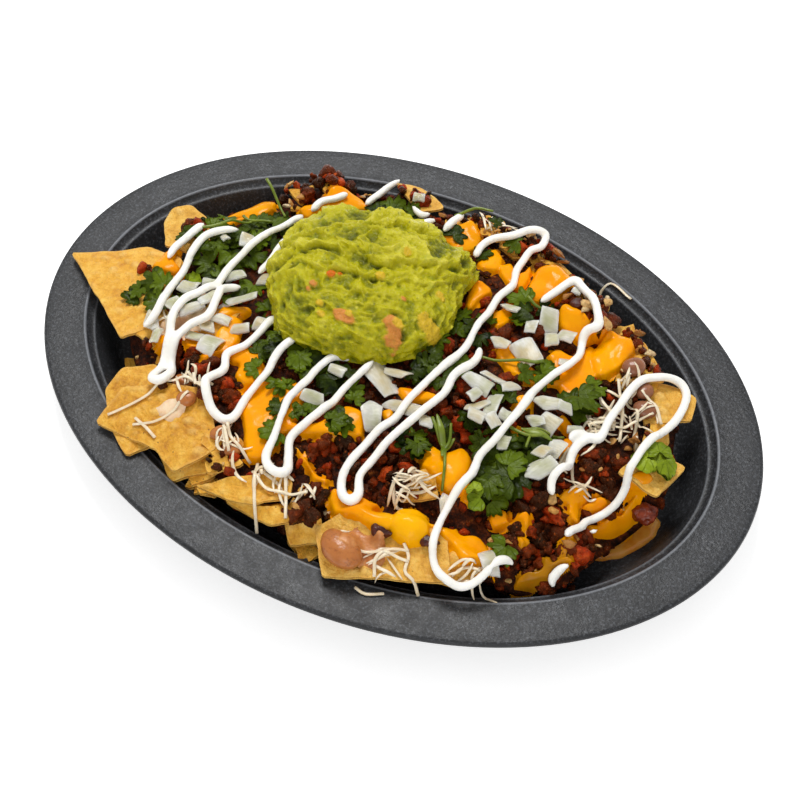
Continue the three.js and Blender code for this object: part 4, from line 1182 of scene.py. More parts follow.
def make_sauce():
    """Poured sauce: it follows the ground softly where it lies and dips under the food round it."""
    x, y = np.meshgrid(np.arange(-128, 138, 0.55), np.arange(-92, 92, 0.55))
    best, depth = sauce_layers(x, y)
    carried = 0.6 * ground.at(x, y, ground.blurred(3.6)) + 0.4 * ground.at(x, y, ground.blurred(1.8))
    carried = np.maximum(carried, ground.at(x, y, ground.blurred(1.7)) - 0.7)
    ripple = 0.25 * noise(flat(x, y), 9, 55).reshape(x.shape)
    share = np.clip(best / 1.4, 0, 1)
    share = share * share * (3 - 2 * share)
    low = np.minimum(ground.at(x, y, ground.blurred(0.9)), carried) - 0.7 + 0.8 * np.minimum(best, 0)
    top = low * (1 - share) + (carried + depth - 0.6 + ripple) * share
    verts, faces = sheet(x, y, top, best > -1.5)
    # the second mask is painted light over the front dome of sauce
    olive, deep = (np.clip(1.4 - np.hypot(verts[:, 0] - cx, verts[:, 1] - cy) / reach, 0, 1)
                   for cx, cy, reach in (OLIVE_SAUCE, PAINTED_LIGHT_DOME))
    finish_piece(build("cheese_sauce", verts, faces, sauce_look(), olive=olive, deep=deep), "filling")
    ground.stamp(verts[best[best > -1.5] > 0])


# ------------------------------------------------------------------ beans

BEANS = {  # x, y, half length, half width, turn in degrees
    "bean_right": (97, 43, 5.5, 4.5, 60), "bean_right_lower": (110, 28, 5, 4.2, 20),
    "bean_left": (-66, -63, 4.6, 4, 0), "bean_front": (-26, -81, 4.2, 3.4, 50),
    "bean_mash": (38, -97, 10, 6.6, -16), "bean_far_right": (130, -10.5, 5.5, 4.5, 30),
}
LOOSE_BEANS = [(106, 36, 4.2, 3.6, 80), (-56, -72, 4.4, 3.6, 30), (-34, -78, 4.4, 3.4, 60)]
PEPPERS = [(48, -83, 4.4, 3.6, 0), (61, 60, 4, 2.6, 40), (72, 52, 3.6, 2.4, -30), (66, -76, 4.6, 3.4, 20)]
GLAZED = "bean_far_right"


def bean_mesh(x, y, a, b, turn):
    """A bean, slightly bent and dented, lying on the ground."""
    ball, faces = BALL_FINE
    verts = ball * (a, b, 0.78 * b)
    verts[:, 1] += 0.1 * b * (verts[:, 0] / a) ** 2
    verts += 0.22 * fbm(verts + (x, y, 0), 5, 2, 7)[:, None] * ball
    z = ground.at(x, y) + 0.4 * b
    ground.lump(x, y, 0.5 * (a + b), z + 0.78 * b, b)
    u, v = turned(verts[:, 0], verts[:, 1], math.radians(turn))
    return np.column_stack([u + x, v + y, verts[:, 2] + z]), faces


def make_beans():
    plain = {name: bean for name, bean in BEANS.items() if name != GLAZED}
    verts, faces, _ = join([bean_mesh(*bean) for bean in [*plain.values(), *LOOSE_BEANS]])
    ob = build("pinto_beans", verts, faces, bean_look(), fried=verts[:, 0] < 80)
    finish_piece(ob, "bean", *plain)
    verts, faces = bean_mesh(*BEANS[GLAZED])
    lumps = 0.7 * fbm(verts, 3.5, 3, 8) + 0.9 * (0.5 - cells(verts, 2.6, 4)[0])
    verts += lumps[:, None] * (verts - verts.mean(0)) / 4
    glazed = plain_food("glazed_bean", rgb(96, 28, 10), rgb(150, 62, 26), 3, 0.16, 0.4)
    finish_piece(build("glazed_bean", verts, faces, glazed), "bean", GLAZED)


def make_peppers():
    rng = np.random.default_rng(3)
    pieces = []
    for pepper in PEPPERS:
        verts, faces = bean_mesh(*pepper)
        middle = verts.mean(0)
        verts = middle + shave(verts - middle, rng, 7, 1.2, 2.4)
        pieces.append((verts + 0.25 * noise(verts, 1.6, 4)[:, None], faces))
    verts, faces, _ = join(pieces)
    charred = plain_food("charred_pepper", rgb(42, 16, 8), rgb(92, 32, 14), 3, 0.3, 0.5)
    finish_piece(build("pepper_pieces", verts, faces, charred), "bean", "pepper_front")


def smear_mesh(cx, cy, half_length, half_width, turn):
    """Soft food spread thinly: an uneven oval film over what lies there."""
    side = max(half_length, half_width) * 1.5
    x, y = np.meshgrid(np.arange(cx - side, cx + side, 0.6), np.arange(cy - side, cy + side, 0.6))
    u, v = turned(x - cx, y - cy, -math.radians(turn))
    s = np.hypot(u / half_length, v / half_width) + 0.3 * fbm(flat(x, y), 7, 3, 91).reshape(x.shape)
    film = np.where(s < 1, 0.75 * np.sqrt(np.clip(1 - s**2, 0, 1)), -3 * (s - 1))
    return sheet(x, y, ground.at(x, y, ground.blurred(0.9)) + film, s < 1.3)


def make_smears():
    paste = plain_food("bean_paste", rgb(176, 104, 50), rgb(214, 148, 88), 4, 0.3, 0.3)
    finish_piece(build("bean_smear", *smear_mesh(45, -92, 11, 5.5, 0), paste), "bean")
    cream = plain_food("thinned_cream", rgb(226, 184, 140), rgb(246, 222, 188), 5, 0.25, 0.3, 0.3)
    films = [smear_mesh(-82, -36, 13, 6, 62), smear_mesh(-90, -24, 8, 5, 60), smear_mesh(-60, -78, 6, 4, 20)]
    verts, faces, _ = join(films)
    finish_piece(build("cream_smears", verts, faces, cream), "filling")


# ------------------------------------------------------------------ shredded cheese

SHREDS = [  # x, y, spread along x, spread along y, number, usual turn in degrees
    (-6, -84, 15, 6, 15, -50), (12, -84, 7, 5, 6, -40), (48, -59, 7, 6, 22, 30), (52, -92, 12, 4, 8, 10),
    (102, 16, 8, 11, 20, 70), (98, 6, 6, 8, 13, 80), (84, -78, 8, 4, 10, 60), (-62, -62, 8, 7, 8, 10),
    (-30, -78, 8, 6, 8, -40), (112, 26, 6, 6, 4, 30), (93, 36, 6, 5, 4, 60), (-92, -42, 6, 8, 5, -20),
    (92, -18, 5, 8, 6, 80), (104, -22, 6, 6, 6, 60), (2, 90, 8, 4, 5, 20),
]
LONG_SHREDS = [
    [(-50, -61), (-58, -62), (-66, -64), (-71, -72), (-76, -82), (-84, -92)],
    [(-56, -70), (-58, -78), (-63, -86), (-71, -91)],
    [(-72, -88), (-64, -90), (-58, -92)],
    [(-61, -60), (-57, -64), (-52, -66)],
    [(-33, -74), (-28, -78), (-17, -81)],
    [(-37, -73), (-31, -78), (-25, -84)],
    [(-14, -80), (-8, -90), (1, -103)],
    [(1, -81), (6, -88), (12, -97)],
    [(-12, -86), (-2, -90), (6, -88), (14, -84)],
    [(43, -95), (52, -90), (63, -87)],
    [(55, -99), (52, -93), (55, -87), (61, -83)],
    [(58, -82), (62, -85), (64, -91), (69, -92), (72, -94)],
    [(49, -104), (54, -104), (60, -100)],
    [(89, 27), (95, 26), (101, 28)],
    [(105, 34), (113, 31), (119, 25)],
    [(104, 11), (110, 22), (114, 27)],
    [(91, 22), (101, 14), (101, 3)],
    [(98, 30), (108, 24), (112, 14), (116, 8)],
    [(94, 34), (102, 22), (108, 8)],
    [(60.6, 84), (61.7, 87), (60.4, 89.6), (59.5, 92.3), (60.4, 93.9), (62, 95.5), (65.4, 94.8), (69.2, 93.4),
     (72.4, 92), (74.9, 91.2)],
]
TAPER = np.array([0.35, 0.75, 0.95, 1, 1, 1, 0.95, 0.75, 0.35])


def make_shreds():
    rng = np.random.default_rng(12)
    parts = []
    s = np.linspace(-0.5, 0.5, len(TAPER))
    for x, y, spread_x, spread_y, count, usual_turn in SHREDS:
        for _ in range(count):
            cx, cy = x + rng.normal() * spread_x * 0.5, y + rng.normal() * spread_y * 0.5
            turn = math.radians(usual_turn + rng.normal() * 42)
            length = 5 + 11 * rng.random() ** 1.3
            bend = rng.normal() * 0.24 * length
            u, v = turned(s * length, bend * (0.25 - s * s) * 2, turn)
            x_path, y_path = cx + u, cy + v
            here = ground.at(x_path, y_path)
            z = soften(here, 3) + 0.6 + 0.4 * rng.random() + rng.normal() * 0.06 * length * s
            path = np.stack([x_path, y_path, np.maximum(z, here + 0.1)], 1)
            parts.append(tube(path, rng.uniform(0.45, 0.82) * TAPER, 8, 0.36))
            ground.stamp_wide(path + (0, 0, 0.4))
    for points in LONG_SHREDS:
        plan = smooth_path(points, 1.4)
        z = soften(ground.at(*plan.T), 3) + 0.7
        parts.append(tube(np.column_stack([plan, z]), 0.7, 8, 0.4))
    verts, faces, _ = join(parts)
    look = plain_food("shredded_cheese", rgb(226, 202, 166), rgb(248, 234, 206), 6, 0.24, 0.1, 0.18)
    finish_piece(build("shredded_cheese", verts, faces, look), "filling")


# ------------------------------------------------------------------ onion

CAD_PIECES = 15  # so many onion dice and as many leaves are CAD nodes: the first ones of their lists
ONIONS = [  # x, y, length, width, turn in degrees
    (-94, -21, 9, 8, 10), (-68, -17, 17, 6, 25), (-65, -43, 9, 13, 15), (-81, -3, 10, 7, 45),
    (10, -22, 20, 11, -20), (25, -29, 20, 8, -10), (16, -39, 9, 15, 30), (55, 24, 16, 12, -25),
    (54, 46, 9, 14, 15), (46, -4, 14, 8, -10), (57, -11, 7, 17, 20), (75, 5, 14, 7, 30),
    (89, -13, 7, 12, 10), (89, -27, 15, 9, 60), (80, -2, 10, 9, -20),
    (-88, 16, 6, 8, 20), (-88, -12, 9, 5, 20), (-68, 2, 6, 8, 0), (-60, -28, 9, 6, 20),
    (-54, -22, 5, 8, 10), (-96, -45, 11, 6, -30), (-89, -51, 12, 5, -50), (-10, -45, 10, 6, 30),
    (-8, -29, 9, 5, 10), (37, -31, 7, 7, 40), (50, 3, 12, 4, -15), (52, -15, 12, 7, 40),
    (55, -20, 9, 7, -10), (62, -19, 8, 7, -30), (43, 21, 9, 7, 0), (50, 37, 6, 8, 10), (60, 37, 6, 8, 20),
    (64, 43, 9, 7, 10), (36, 43, 9, 4, 10), (57, 68, 5, 6, 0), (71, 30, 7, 6, 10), (75, -5, 9, 6, 10),
    (90, 1, 8, 5, 50), (70, -25, 6, 7, 20), (62, -58, 4, 9, 20), (90, -71, 7, 12, 30),
    (13, -16, 12, 5, 10), (58, 2, 8, 5, 60), (48, -10, 8, 6, 70), (64, -12, 6, 6, 0), (83, 5, 7, 5, 20),
    (-36, 84, 7, 5, 20), (-98, 12, 5, 4, 0), (86, -20, 6, 8, -20), (-84, -31, 12, 6, 60),
    (-80, -24, 10, 6, 70), (-74, -42, 8, 6, 20), (-73, -35, 7, 7, 40), (-69, -29, 8, 6, 0),
    (-92, -34, 8, 6, 70), (-88, -40, 7, 5, 50),
]


def rest_height(x, y, blurred):
    """Height at which a stiff piece lies on the ground under its points."""
    return 0.45 * np.percentile(ground.at(x, y), 92) + 0.55 * ground.at(x, y, blurred).mean()


def onion_mesh(x, y, length, width, turn, seed, blurred):
    """A cut petal of onion: a thin curved slab with straight cut sides and sharp corners."""
    rng = np.random.default_rng(seed)
    angle = np.arange(36) * TAU / 36
    reach = cut_reach(rng, angle, rng.choice([4, 4, 4, 4, 5]), 0.16, (0.42, 0.54), 0.85)
    shares = np.array([0.05, 0.35, 0.65, 0.9, 0.98, 1.0])
    u, v = fan(shares, reach, angle)
    s = np.repeat(shares, len(angle))
    thick = rng.uniform(1.0, 1.6)
    length, width = 0.92 * length, 0.9 * width
    half = 0.5 * thick * np.clip(1 - s**14, 0.25, 1) ** 0.5
    arch = rng.uniform(0.2, 0.5) * width * (0.5 - 2 * v * v)
    arch += 0.5 * noise(np.column_stack([u * 5, v * 5, 0 * u + seed]), 2, 3)
    tilt = rng.normal(size=2) * 0.2
    u, v = u * length, v * width
    px, py = turned(u, v, math.radians(turn + rng.normal() * 8))
    px, py = px + x, py + y
    z = rest_height(px, py, blurred) + 0.5 * thick + arch + tilt[0] * u + tilt[1] * v
    z += max(0.0, 0.5 * float(np.percentile(ground.at(px, py) - (z - half), 90)))
    verts, faces = slab(px, py, z + half, z - half, len(shares))
    uv = np.tile(np.column_stack([u, v]) * MM, (2, 1))
    return verts, faces, uv, np.full(len(verts), rng.random()), np.tile(s**3, 2)


def make_onions():
    parts = []
    for number, onion in enumerate(ONIONS):
        parts.append(onion_mesh(*onion, number + 60, ground.blurred(2.5)))
        ground.stamp_wide(parts[-1][0])
    verts, faces, uv = join(parts)
    ob = build("diced_onion", verts, faces, onion_look(), uv, tone=column(parts, 3), edge=column(parts, 4))
    finish_piece(ob, "onion", *[f"onion_{k + 1}" for k in range(CAD_PIECES)])


# ------------------------------------------------------------------ cilantro

LEAVES = [  # x, y, radius, turn in degrees
    (-112, -28, 10, 210), (-95, 36, 10, 60), (-90, -1, 9, 120), (-43, -26, 8, 250), (-26, -46, 8, 300),
    (-16, -67, 8, 230), (7, -51, 8, 250), (37, 50, 9, 200), (22, -9, 9, 10), (86, 13, 11, 60),
    (66, 22, 7, 110), (80, -15, 10, 0), (72, -31, 12, 200), (40, -44, 9, 320), (-46, 78, 9, 80),
    (-116, 6, 7, 150), (-112, 22, 8, 60), (-94, 11, 9, 220), (-95, 24, 8, 20), (-94, 30, 8, 100),
    (-88, 42, 8, 40), (-87, 28, 8, 330), (-99, -3, 9, 200), (-105, 0, 7, 160), (-90, -9, 8, 250),
    (-107, -24, 8, 160), (-102, -36, 8, 240), (-116, -36, 7, 230), (-91, -30, 8, 20), (-85, 6, 8, 40),
    (-71, -5, 9, 290), (-74, -12, 6, 200), (-86, -24, 7, 60), (-53, -19, 7, 0), (-57, -10, 8, 120),
    (-44, -29, 7, 330), (-38, -20, 7, 60), (-30, -27, 8, 200), (-21, -55, 6, 170), (-12, -53, 5, 20),
    (-20, -32, 8, 150), (-8, -33, 8, 330), (2, -31, 7, 30), (-12, -27, 8, 60), (-24, -24, 7, 10),
    (6, -49, 7.4, 240), (-6, -26, 7, 120), (24, -4, 8, 60), (34, -10, 8, 330), (37, -37, 6, 60),
    (44, -29, 7, 90), (20, 9, 8, 60), (22, 20, 8, 120), (19, 30, 7, 60), (52, -20, 7, 300),
    (60, -26, 7, 250), (43, 40, 7, 270), (49, 53, 6, 20), (88, 24, 8, 20), (77, -17, 9, 120),
    (86, -14, 7, 330), (74, -42, 10, 270), (83, -38, 9, 300), (68, -22, 7, 150), (91, -63, 8, 250),
    (-100, 17, 9, 80), (-92, 19, 8, 300), (-86, 20, 8, 140), (-80, 12, 8, 20), (-82, 36, 8, 260),
    (-77, 24, 7, 60), (-98, 8, 8, 340), (-76, -18, 7, 100), (-107, 8, 7, 200), (-94, -22, 7, 180),
    (-44, -34, 7, 80), (-42, -44, 6, 200), (58, -2, 8, 140), (36, 2, 8, 200), (34, 18, 7, 300),
    (28, 24, 7, 40), (64, -18, 7, 90), (66, -30, 8, 20), (60, 14, 6, 30), (84, -24, 8, 100),
    (80, -46, 7, 30), (-10, 74, 8, 90), (8, 70, 7, 30), (-34, 70, 8, 150), (-64, 56, 8, 100),
    (-60, 40, 8, 200), (-70, 34, 8, 20), (4, 89, 5, 60), (17, 81, 7, 200), (-53, 72, 7, 120),
    (-36, 78, 6, 30), (30, 33, 6, 100), (-26, -33, 7, 200), (-19, -27, 7, 250), (-9, -34, 7.5, 200),
    (-10, -52, 5, 300), (6, -50, 7, 60), (-26, -45, 5, 200), (-20, -56, 5, 60), (21, -11, 6.5, 20),
    (5, -34, 5.5, 80), (-7, -47, 6, 330), (31, -42, 5.5, 200), (41, -44, 6.5, 300), (23, 0, 5.5, 60),
    (-40, -32, 6.5, 220), (-38, -25, 6, 120), (-105, 17, 8, 60), (-86, 37, 8.5, 100), (-91, 34, 6, 30),
    (-104, 1, 7.5, 120), (-88, 4, 8, 300), (-24, -34, 7, 300), (-114, -34, 6, 230), (-96, 20, 7, 200),
    (-87, -5, 6.5, 60), (-83, 21, 6.5, 60), (-105, 24, 5.5, 330), (42, 44, 8, 200), (68, 18, 7.5, 20),
    (88, 14, 11, 340), (76, -38, 12, 200), (78, -30, 8.5, 60), (75, -45, 7.5, 300), (80, -16, 8, 340),
]
LIGHT_LEAVES = [
    (73, -52, 5.5, 200), (70, -49, 4, 120), (123, 5, 9, 20), (128, 7, 9, 60), (124, 10, 7, 120),
    (131, 3, 6, 330), (121, 0, 7, 240), (-97, -14, 6, 30),
]


def leaf_reach(rng, angle, seed, lettuce):
    """A leaf's reach in each direction, from the middle of its fan: three cut lobes, or a plain round."""
    away = np.abs(angle)
    reach = 1 - 0.1 * (away / 1.9) ** 2
    reach *= 1 - 0.95 * np.clip((away - 1.95) / 0.75, 0, 1) ** 1.3  # drawn in towards the stalk
    lobe = rng.uniform(0.56, 0.74)
    if lettuce:
        reach *= 0.9 + 0.1 * np.abs((1.4 * angle + rng.random()) % 1 * 2 - 1)
    else:
        cut = rng.uniform(0.26, 0.6)
        reach *= 1 - cut * np.exp(-(((away - lobe) / 0.13) ** 2))
        reach *= 1 - 0.7 * cut * np.exp(-(((away - lobe * 2.1) / 0.12) ** 2))
        reach *= 0.8 + 0.2 * np.abs(np.sin(rng.uniform(4.6, 6.2) * angle + rng.random() * 3)) ** 0.85
    ring = np.column_stack([np.cos(angle), np.sin(angle), 0 * angle + seed])
    return reach * (1 + 0.08 * noise(ring * 2, 1.0, seed))


def leaf_mesh(x, y, radius, turn, seed, blurred, highest, lettuce):
    """A leaf: a broad fan of lobes with rounded teeth, cupped, waved and resting on the food."""
    rng = np.random.default_rng(seed)
    radius *= 0.94
    angle = np.arange(56) * TAU / 56 - math.pi
    reach = leaf_reach(rng, angle, seed, lettuce)
    shares = np.linspace(0.06, 1, 4)
    u, v = fan(shares, reach, angle)
    px, py = turned(radius * (u - 0.3), radius * v, math.radians(turn + rng.normal() * 10))
    px, py = px + x, py + y
    seeded = np.column_stack([u * 3, v * 3, np.full(len(u), seed)])
    ripple = (0.3 if lettuce else 0.13) * noise(seeded, 1.2, 5)
    cup = rng.uniform(-0.05, 0.22) * (u * u + v * v)
    fold = 0.1 * np.abs(v) * rng.uniform(-1, 1)
    wave = radius * (ripple - cup + fold)
    tilt = rng.normal(size=2) * 0.16 * radius
    soft = ground.at(px, py, blurred)
    here = ground.at(px, py, highest)
    z = 0.4 * soft + 0.6 * soft.mean() + wave + tilt[0] * u + tilt[1] * v
    z += max(0.0, 0.8 * float(np.percentile(here - z, 80))) + 0.3
    z += np.clip(here + 0.25 - z, 0, 2.5)
    verts, faces = slab(px, py, z + 0.15, z - 0.15, len(shares))
    uv = np.tile(np.column_stack([u, v]) * 0.5 + 0.5, (2, 1))
    return verts, faces, uv, np.full(len(verts), rng.random())


def leaf_piece(name, leaves, seed, look, lettuce=False):
    parts = []
    for number, leaf in enumerate(leaves):
        parts.append(leaf_mesh(*leaf, number + seed, ground.blurred(3.0), ground.highest(), lettuce))
        ground.stamp_wide(parts[-1][0])
    verts, faces, uv = join(parts)
    return build(name, verts, faces, look, uv, tone=column(parts, 3))


def make_leaves():
    dark = leaf_look("cilantro_leaf", rgb(17, 29, 1), rgb(90, 108, 14))
    fresh = leaf_look("lettuce_leaf", rgb(74, 96, 4), rgb(142, 160, 36))
    ob = leaf_piece("cilantro_leaves", LEAVES, 200, dark)
    finish_piece(ob, "cilantro", *[f"cilantro_{k + 1}" for k in range(CAD_PIECES)])
    finish_piece(leaf_piece("lettuce_shreds", LIGHT_LEAVES, 400, fresh, lettuce=True), "cilantro")


STALKS = [  # plan points, with heights above the ground
    [(-103, 53, 14), (-97.5, 50, 10), (-91, 46, 4), (-85, 42, 0.5)],
    [(-112, 8, 0.5), (-106, 14, 2), (-100, 22, 2), (-95, 30, 1)],
    [(64, 22, 1), (55, 18, 1), (46, 14, 1.5), (38, 12, 1)],
    [(39, -29, 2), (45, -34, 2), (50, -38, 1.5), (55, -46, 1), (58.7, -54, 0.5)],
    [(72, -12, 1), (80, -8, 1), (88, -4, 1.5)],
    [(68, -16, 1), (76, -16, 1), (82, -12, 1.5)],
    [(74, -4, 1), (77, -14, 1), (79, -22, 1)],
    [(-104, 34, 1), (-96, 30, 1), (-86, 33, 1)],
    [(-16, 84, 3), (-8, 90, 4), (0, 92, 3)],
    [(40, 52, 1.5), (46, 50, 1.5), (52, 52, 1)],
    [(-52, -10, 1), (-44, -18, 1), (-40, -26, 1)],
    [(50, -38, 1.5), (49.8, -33, 2), (47, -27.4, 2.5)],
]
BLADES = [  # narrow leaves
    [(40, -27), (46, -33), (52, -40)],
    [(51, -31), (50, -37), (52, -43)],
    [(73, -15), (80, -12), (86, -12)],
]


def make_stalks():
    parts = []
    for points in STALKS:
        plan = smooth_path([p[:2] for p in points], 1.2)
        along = np.linspace(0, len(points) - 1, len(plan))
        above = np.interp(along, range(len(points)), [p[2] for p in points])
        z = soften(ground.at(*plan.T), 5) + above + 0.6
        parts.append(tube(np.column_stack([plan, z]), np.linspace(0.8, 0.55, len(plan)), 8))
    for points in BLADES:
        plan = smooth_path(points, 0.9)
        z = soften(ground.at(*plan.T), 5) + 2.4
        wide = 1.5 * np.sin(np.linspace(0.04, 0.96, len(plan)) * math.pi) ** 0.7
        parts.append(tube(np.column_stack([plan, z]), wide, 8, 0.25))
    verts, faces, _ = join(parts)
    light = plain_food("cilantro_stalk", rgb(88, 108, 20), rgb(128, 142, 44), 9, 0.35, 0.1)
    finish_piece(build("cilantro_stalks", verts, faces, light), "cilantro")


# ------------------------------------------------------------------ crema

CREMA_RUNS = [
    [(-112, -12), (-114, -5), (-112, 4), (-110, 13)],
    [(-95, 20), (-101, 14), (-105, 7), (-104, -4), (-102, -16), (-100, -27), (-96, -37), (-95, -45),
        (-96, -51)],
    [(-79, 48), (-81, 29), (-85, 7), (-85, -3), (-83, -15), (-85, -23), (-88, -30), (-87, -40), (-82, -50),
        (-78, -61), (-76, -70), (-73, -71), (-71, -70), (-71, -64), (-76, -57), (-78, -50), (-78, -40),
        (-74, -32), (-76, -23), (-78, -14), (-74, -8)],
    [(-74, 29), (-72, 11), (-71, 1)],
    [(-48, -15), (-50, -19), (-50, -27), (-51, -36), (-55, -44), (-51, -52), (-52, -59), (-51, -64),
        (-44, -71), (-36, -72), (-34, -68), (-35, -59), (-35, -52), (-34, -44), (-35, -36), (-34, -28),
        (-32, -24)],
    [(-7, -21), (-13, -23), (-16, -33), (-16, -42), (-18, -50), (-16, -58), (-13, -68), (-11, -77),
        (-7, -82), (-2, -83), (1, -80), (-3, -73), (-7, -65), (-5, -56), (-2, -47), (-1, -35), (1, -26),
        (3, -17)],
    [(6, 64), (5, 73), (8, 79), (16, 84), (21, 91), (27, 94), (29, 87), (26, 81), (26, 70), (30, 56),
        (29, 45), (30, 33), (32, 14), (31, 4), (28, -12), (26, -23), (26, -35), (23, -43), (21, -54),
        (21, -63), (22, -71), (26, -77), (31, -78), (32, -74), (28, -67), (28, -59), (29, -50), (31, -43),
        (34, -31), (37, -17), (36, -7), (39, 0), (39, 8), (37, 14)],
    [(46, 53), (49, 62), (53, 71), (58, 69), (66, 63), (72, 56), (75, 51), (71, 47), (74, 36), (73, 26),
        (68, 10), (68, -2), (68, -13), (67, -26), (65, -35), (66, -43), (65, -52), (65, -61), (66, -70),
        (69, -79), (75, -85), (83, -86), (88, -83.5), (91.5, -78), (92.5, -73)],
    [(98, -35), (95, -29), (97, -20), (95, -10), (97, -1), (101, 1), (101, 11), (101, 21), (101, 31),
        (104, 40), (111, 47), (117, 49), (122, 44), (123, 32), (121, 20), (119, 8), (119, -1), (118.6, -7),
        (119.8, -12), (119, -18), (115, -25), (112.7, -30.5), (112.5, -35), (110.5, -41), (110.5, -46)],
    [(-14, 70), (-14, 81), (-13, 88)],
    [(-57, 69), (-57, 77), (-56, 86), (-52, 93)],
    [(-76, 51), (-75, 58), (-70, 63), (-67, 69)],
    [(-36, 78), (-30, 76), (-27, 80)],
    [(-28, 69), (-25, 73), (-22, 76)],
    [(116.5, -54), (114, -56.5), (113, -60.5), (115, -63)],
    [(92.5, -74), (93.5, -70), (96, -67), (99, -66.4)],
    [(116, -35), (118.5, -32)],
    [(95, 1), (92, -4), (92, -8)],
]


def crema_line(number, run):
    """One piped run as a tube: it sags over what it lies on and swells where it turns."""
    x, y = smooth_path(run, 0.9).T
    key = np.column_stack([x, y, np.full(len(x), number * 7.0)])
    x = x + 0.3 * noise(key, 11, 21)
    y = y + 0.3 * noise(key, 11, 22)
    under = np.max([ground.at(x + dx, y + dy) for dx in (-1.4, 0, 1.4) for dy in (-1.4, 0, 1.4)], axis=0)
    z = soften(np.maximum(soften(under, 12), under - 0.5), 5) + 1.2
    turn = np.abs(np.gradient(np.unwrap(np.arctan2(np.gradient(y), np.gradient(x)))))
    radius = 1.9 + 0.35 * np.clip(soften(turn, 6) * 3, 0, 1)
    radius += 0.28 * noise(key, 16, 9) + 0.12 * noise(key, 6, 10)
    ends = np.minimum(np.arange(len(x)), np.arange(len(x))[::-1])
    blunt = 2.6 + 3.0 * scatter_hash(number, 3, 5, 1)
    radius *= np.sqrt(np.clip((ends + 0.4) / blunt, 0.06, 1))
    return tube(np.column_stack([x, y, z]), radius, 14, 0.88)


def make_crema():
    verts, faces, _ = join([crema_line(number, run) for number, run in enumerate(CREMA_RUNS)])
    ob = build("crema_drizzle", verts, faces, crema_look())
    remesh = ("REMESH", {"mode": "VOXEL", "voxel_size": 0.8 * MM})
    modified(ob, remesh, ("SMOOTH", {"iterations": 5, "factor": 0.5}))
    ground.stamp(np.array([v.co for v in ob.data.vertices]) / MM)
    finish_piece(ob, "filling")


# ------------------------------------------------------------------ guacamole

GUAC_REACH = [  # direction in degrees, reach
    (-180, 43.5), (-156, 44), (-137, 43.5), (-128, 43), (-116, 46.5), (-90, 44.5), (-68, 42.5), (-40, 45),
    (-25, 46.5), (-10, 44), (0, 42.5), (14, 41), (27, 42), (35, 46.5), (41, 51), (47, 48.5), (58, 45.5),
    (72, 42.5), (85, 42), (100, 43), (122, 44), (140, 44), (160, 46.5), (172, 46), (180, 43.5),
]
GUAC_SPOTS = {  # x, y, half size of the pieces of tomato and onion that show
    "red": [(-31, 2.5, 2.0), (-27.5, 4, 1.2)],
    "tomato": [
        (-15.2, -12, 4.6), (4, -4.5, 3.6), (7, -8, 4.2), (-35.5, -5, 1.6), (-36, -8.5, 1.4), (2, 8, 1.6),
    ],
    "pale": [
        (17.5, 6, 5.4), (-14, -10, 2.2), (6, -3, 2.4), (-27.4, -12, 1.9), (-24, -16, 1.6), (12, 22, 2.4),
        (22, 34, 2), (-12, 12, 2.2), (-10, 30, 2),
    ],
}


def guacamole_dome(sides, rings):
    """The scoop's smooth form, ring by ring from its top to under its edge, sides points a ring."""
    angle = np.arange(sides) * TAU / sides
    reach = np.interp(np.degrees(angle), *np.array(GUAC_REACH).T, period=360)
    window = np.hanning(15)
    reach = np.convolve(np.tile(reach, 3), window / window.sum(), "same")[sides : 2 * sides]
    rows = []
    for share in np.linspace(0.0, 1.0, rings):
        polar = share * 0.6 * math.pi
        out, up = math.sin(polar) ** 0.82, math.cos(polar)
        x = GUAC_X + reach * out * np.cos(angle)
        y = GUAC_Y + reach * out * np.sin(angle)
        lean = 1 - 0.16 * (x - GUAC_X) / 46 + 0.04 * (y - GUAC_Y) / 46
        z = np.minimum(mound(x, y), 42) + 2.2 + (21.5 * lean * (up**0.68 if up > 0 else up * 0.35))
        rows.append(np.stack([x, y, z], 1))
    rows[0][:, :2] += np.column_stack([np.cos(angle), np.sin(angle)]) * 0.05  # a small hole, closed by a cap
    return np.concatenate(rows)


def guacamole_relief(p):
    """How far each point moves out: folds left by the spoon, creases, lumps and pits."""
    across = -0.53 * p[:, 0] + 0.85 * p[:, 1] + 0.8 * p[:, 2]
    creamy = np.clip(0.35 + (across - 62) / 26, 0.12, 1)  # smooth folds up there, lumps lower down
    wander = 10 * fbm(p * (0.8, 0.8, 1), 26, 3, 2) + 3.4 * fbm(p, 9, 2, 14)
    fold = ((across + wander) / 13.5) % 1
    strong = 0.35 + 0.65 * np.clip(0.5 + 1.4 * noise(p, 15, 31), 0, 1)
    lip = np.clip(fold / 0.12, 0, 1) * (1 - fold) ** 0.9 * strong
    warped = p * (0.75, 1.1, 1.1) + 3.5 * np.column_stack([noise(p, 12, 15 + k) for k in range(3)])
    crease = (1 - np.abs(noise(warped, 8.5, 4))) ** 4
    small_crease = (1 - np.abs(noise(warped, 4.2, 5))) ** 3
    near, tag = cells(p + 1.4 * noise(p, 5, 16)[:, None], 6.6, 8)
    chunk = np.clip(0.6 - near, 0, 1) * (0.3 + tag)
    small, small_tag = cells(p, 3.0, 9)
    pit = np.clip(noise(p * (0.8, 1.2, 1.2), 7.0, 19) - 0.55, 0, 1)
    move = (
        4.6 * (lip - 0.3) * creamy + 1.9 * (crease - 0.3) * (0.3 + creamy) + 1.7 * (small_crease - 0.4)
        + 1.3 * fbm(p, 21, 2, 6) + 2.6 * (chunk - 0.12) * (1.2 - creamy)
        + 1.3 * (0.5 - small) * (0.3 + small_tag) + 0.5 * noise(p, 2.2, 12) - 4.0 * pit)
    knob = np.clip(noise(p * (1, 1, 0.7), 7.5, 61) - 0.1, 0, 1) * (p[:, 2] < 50)
    return move + 1.5 * knob


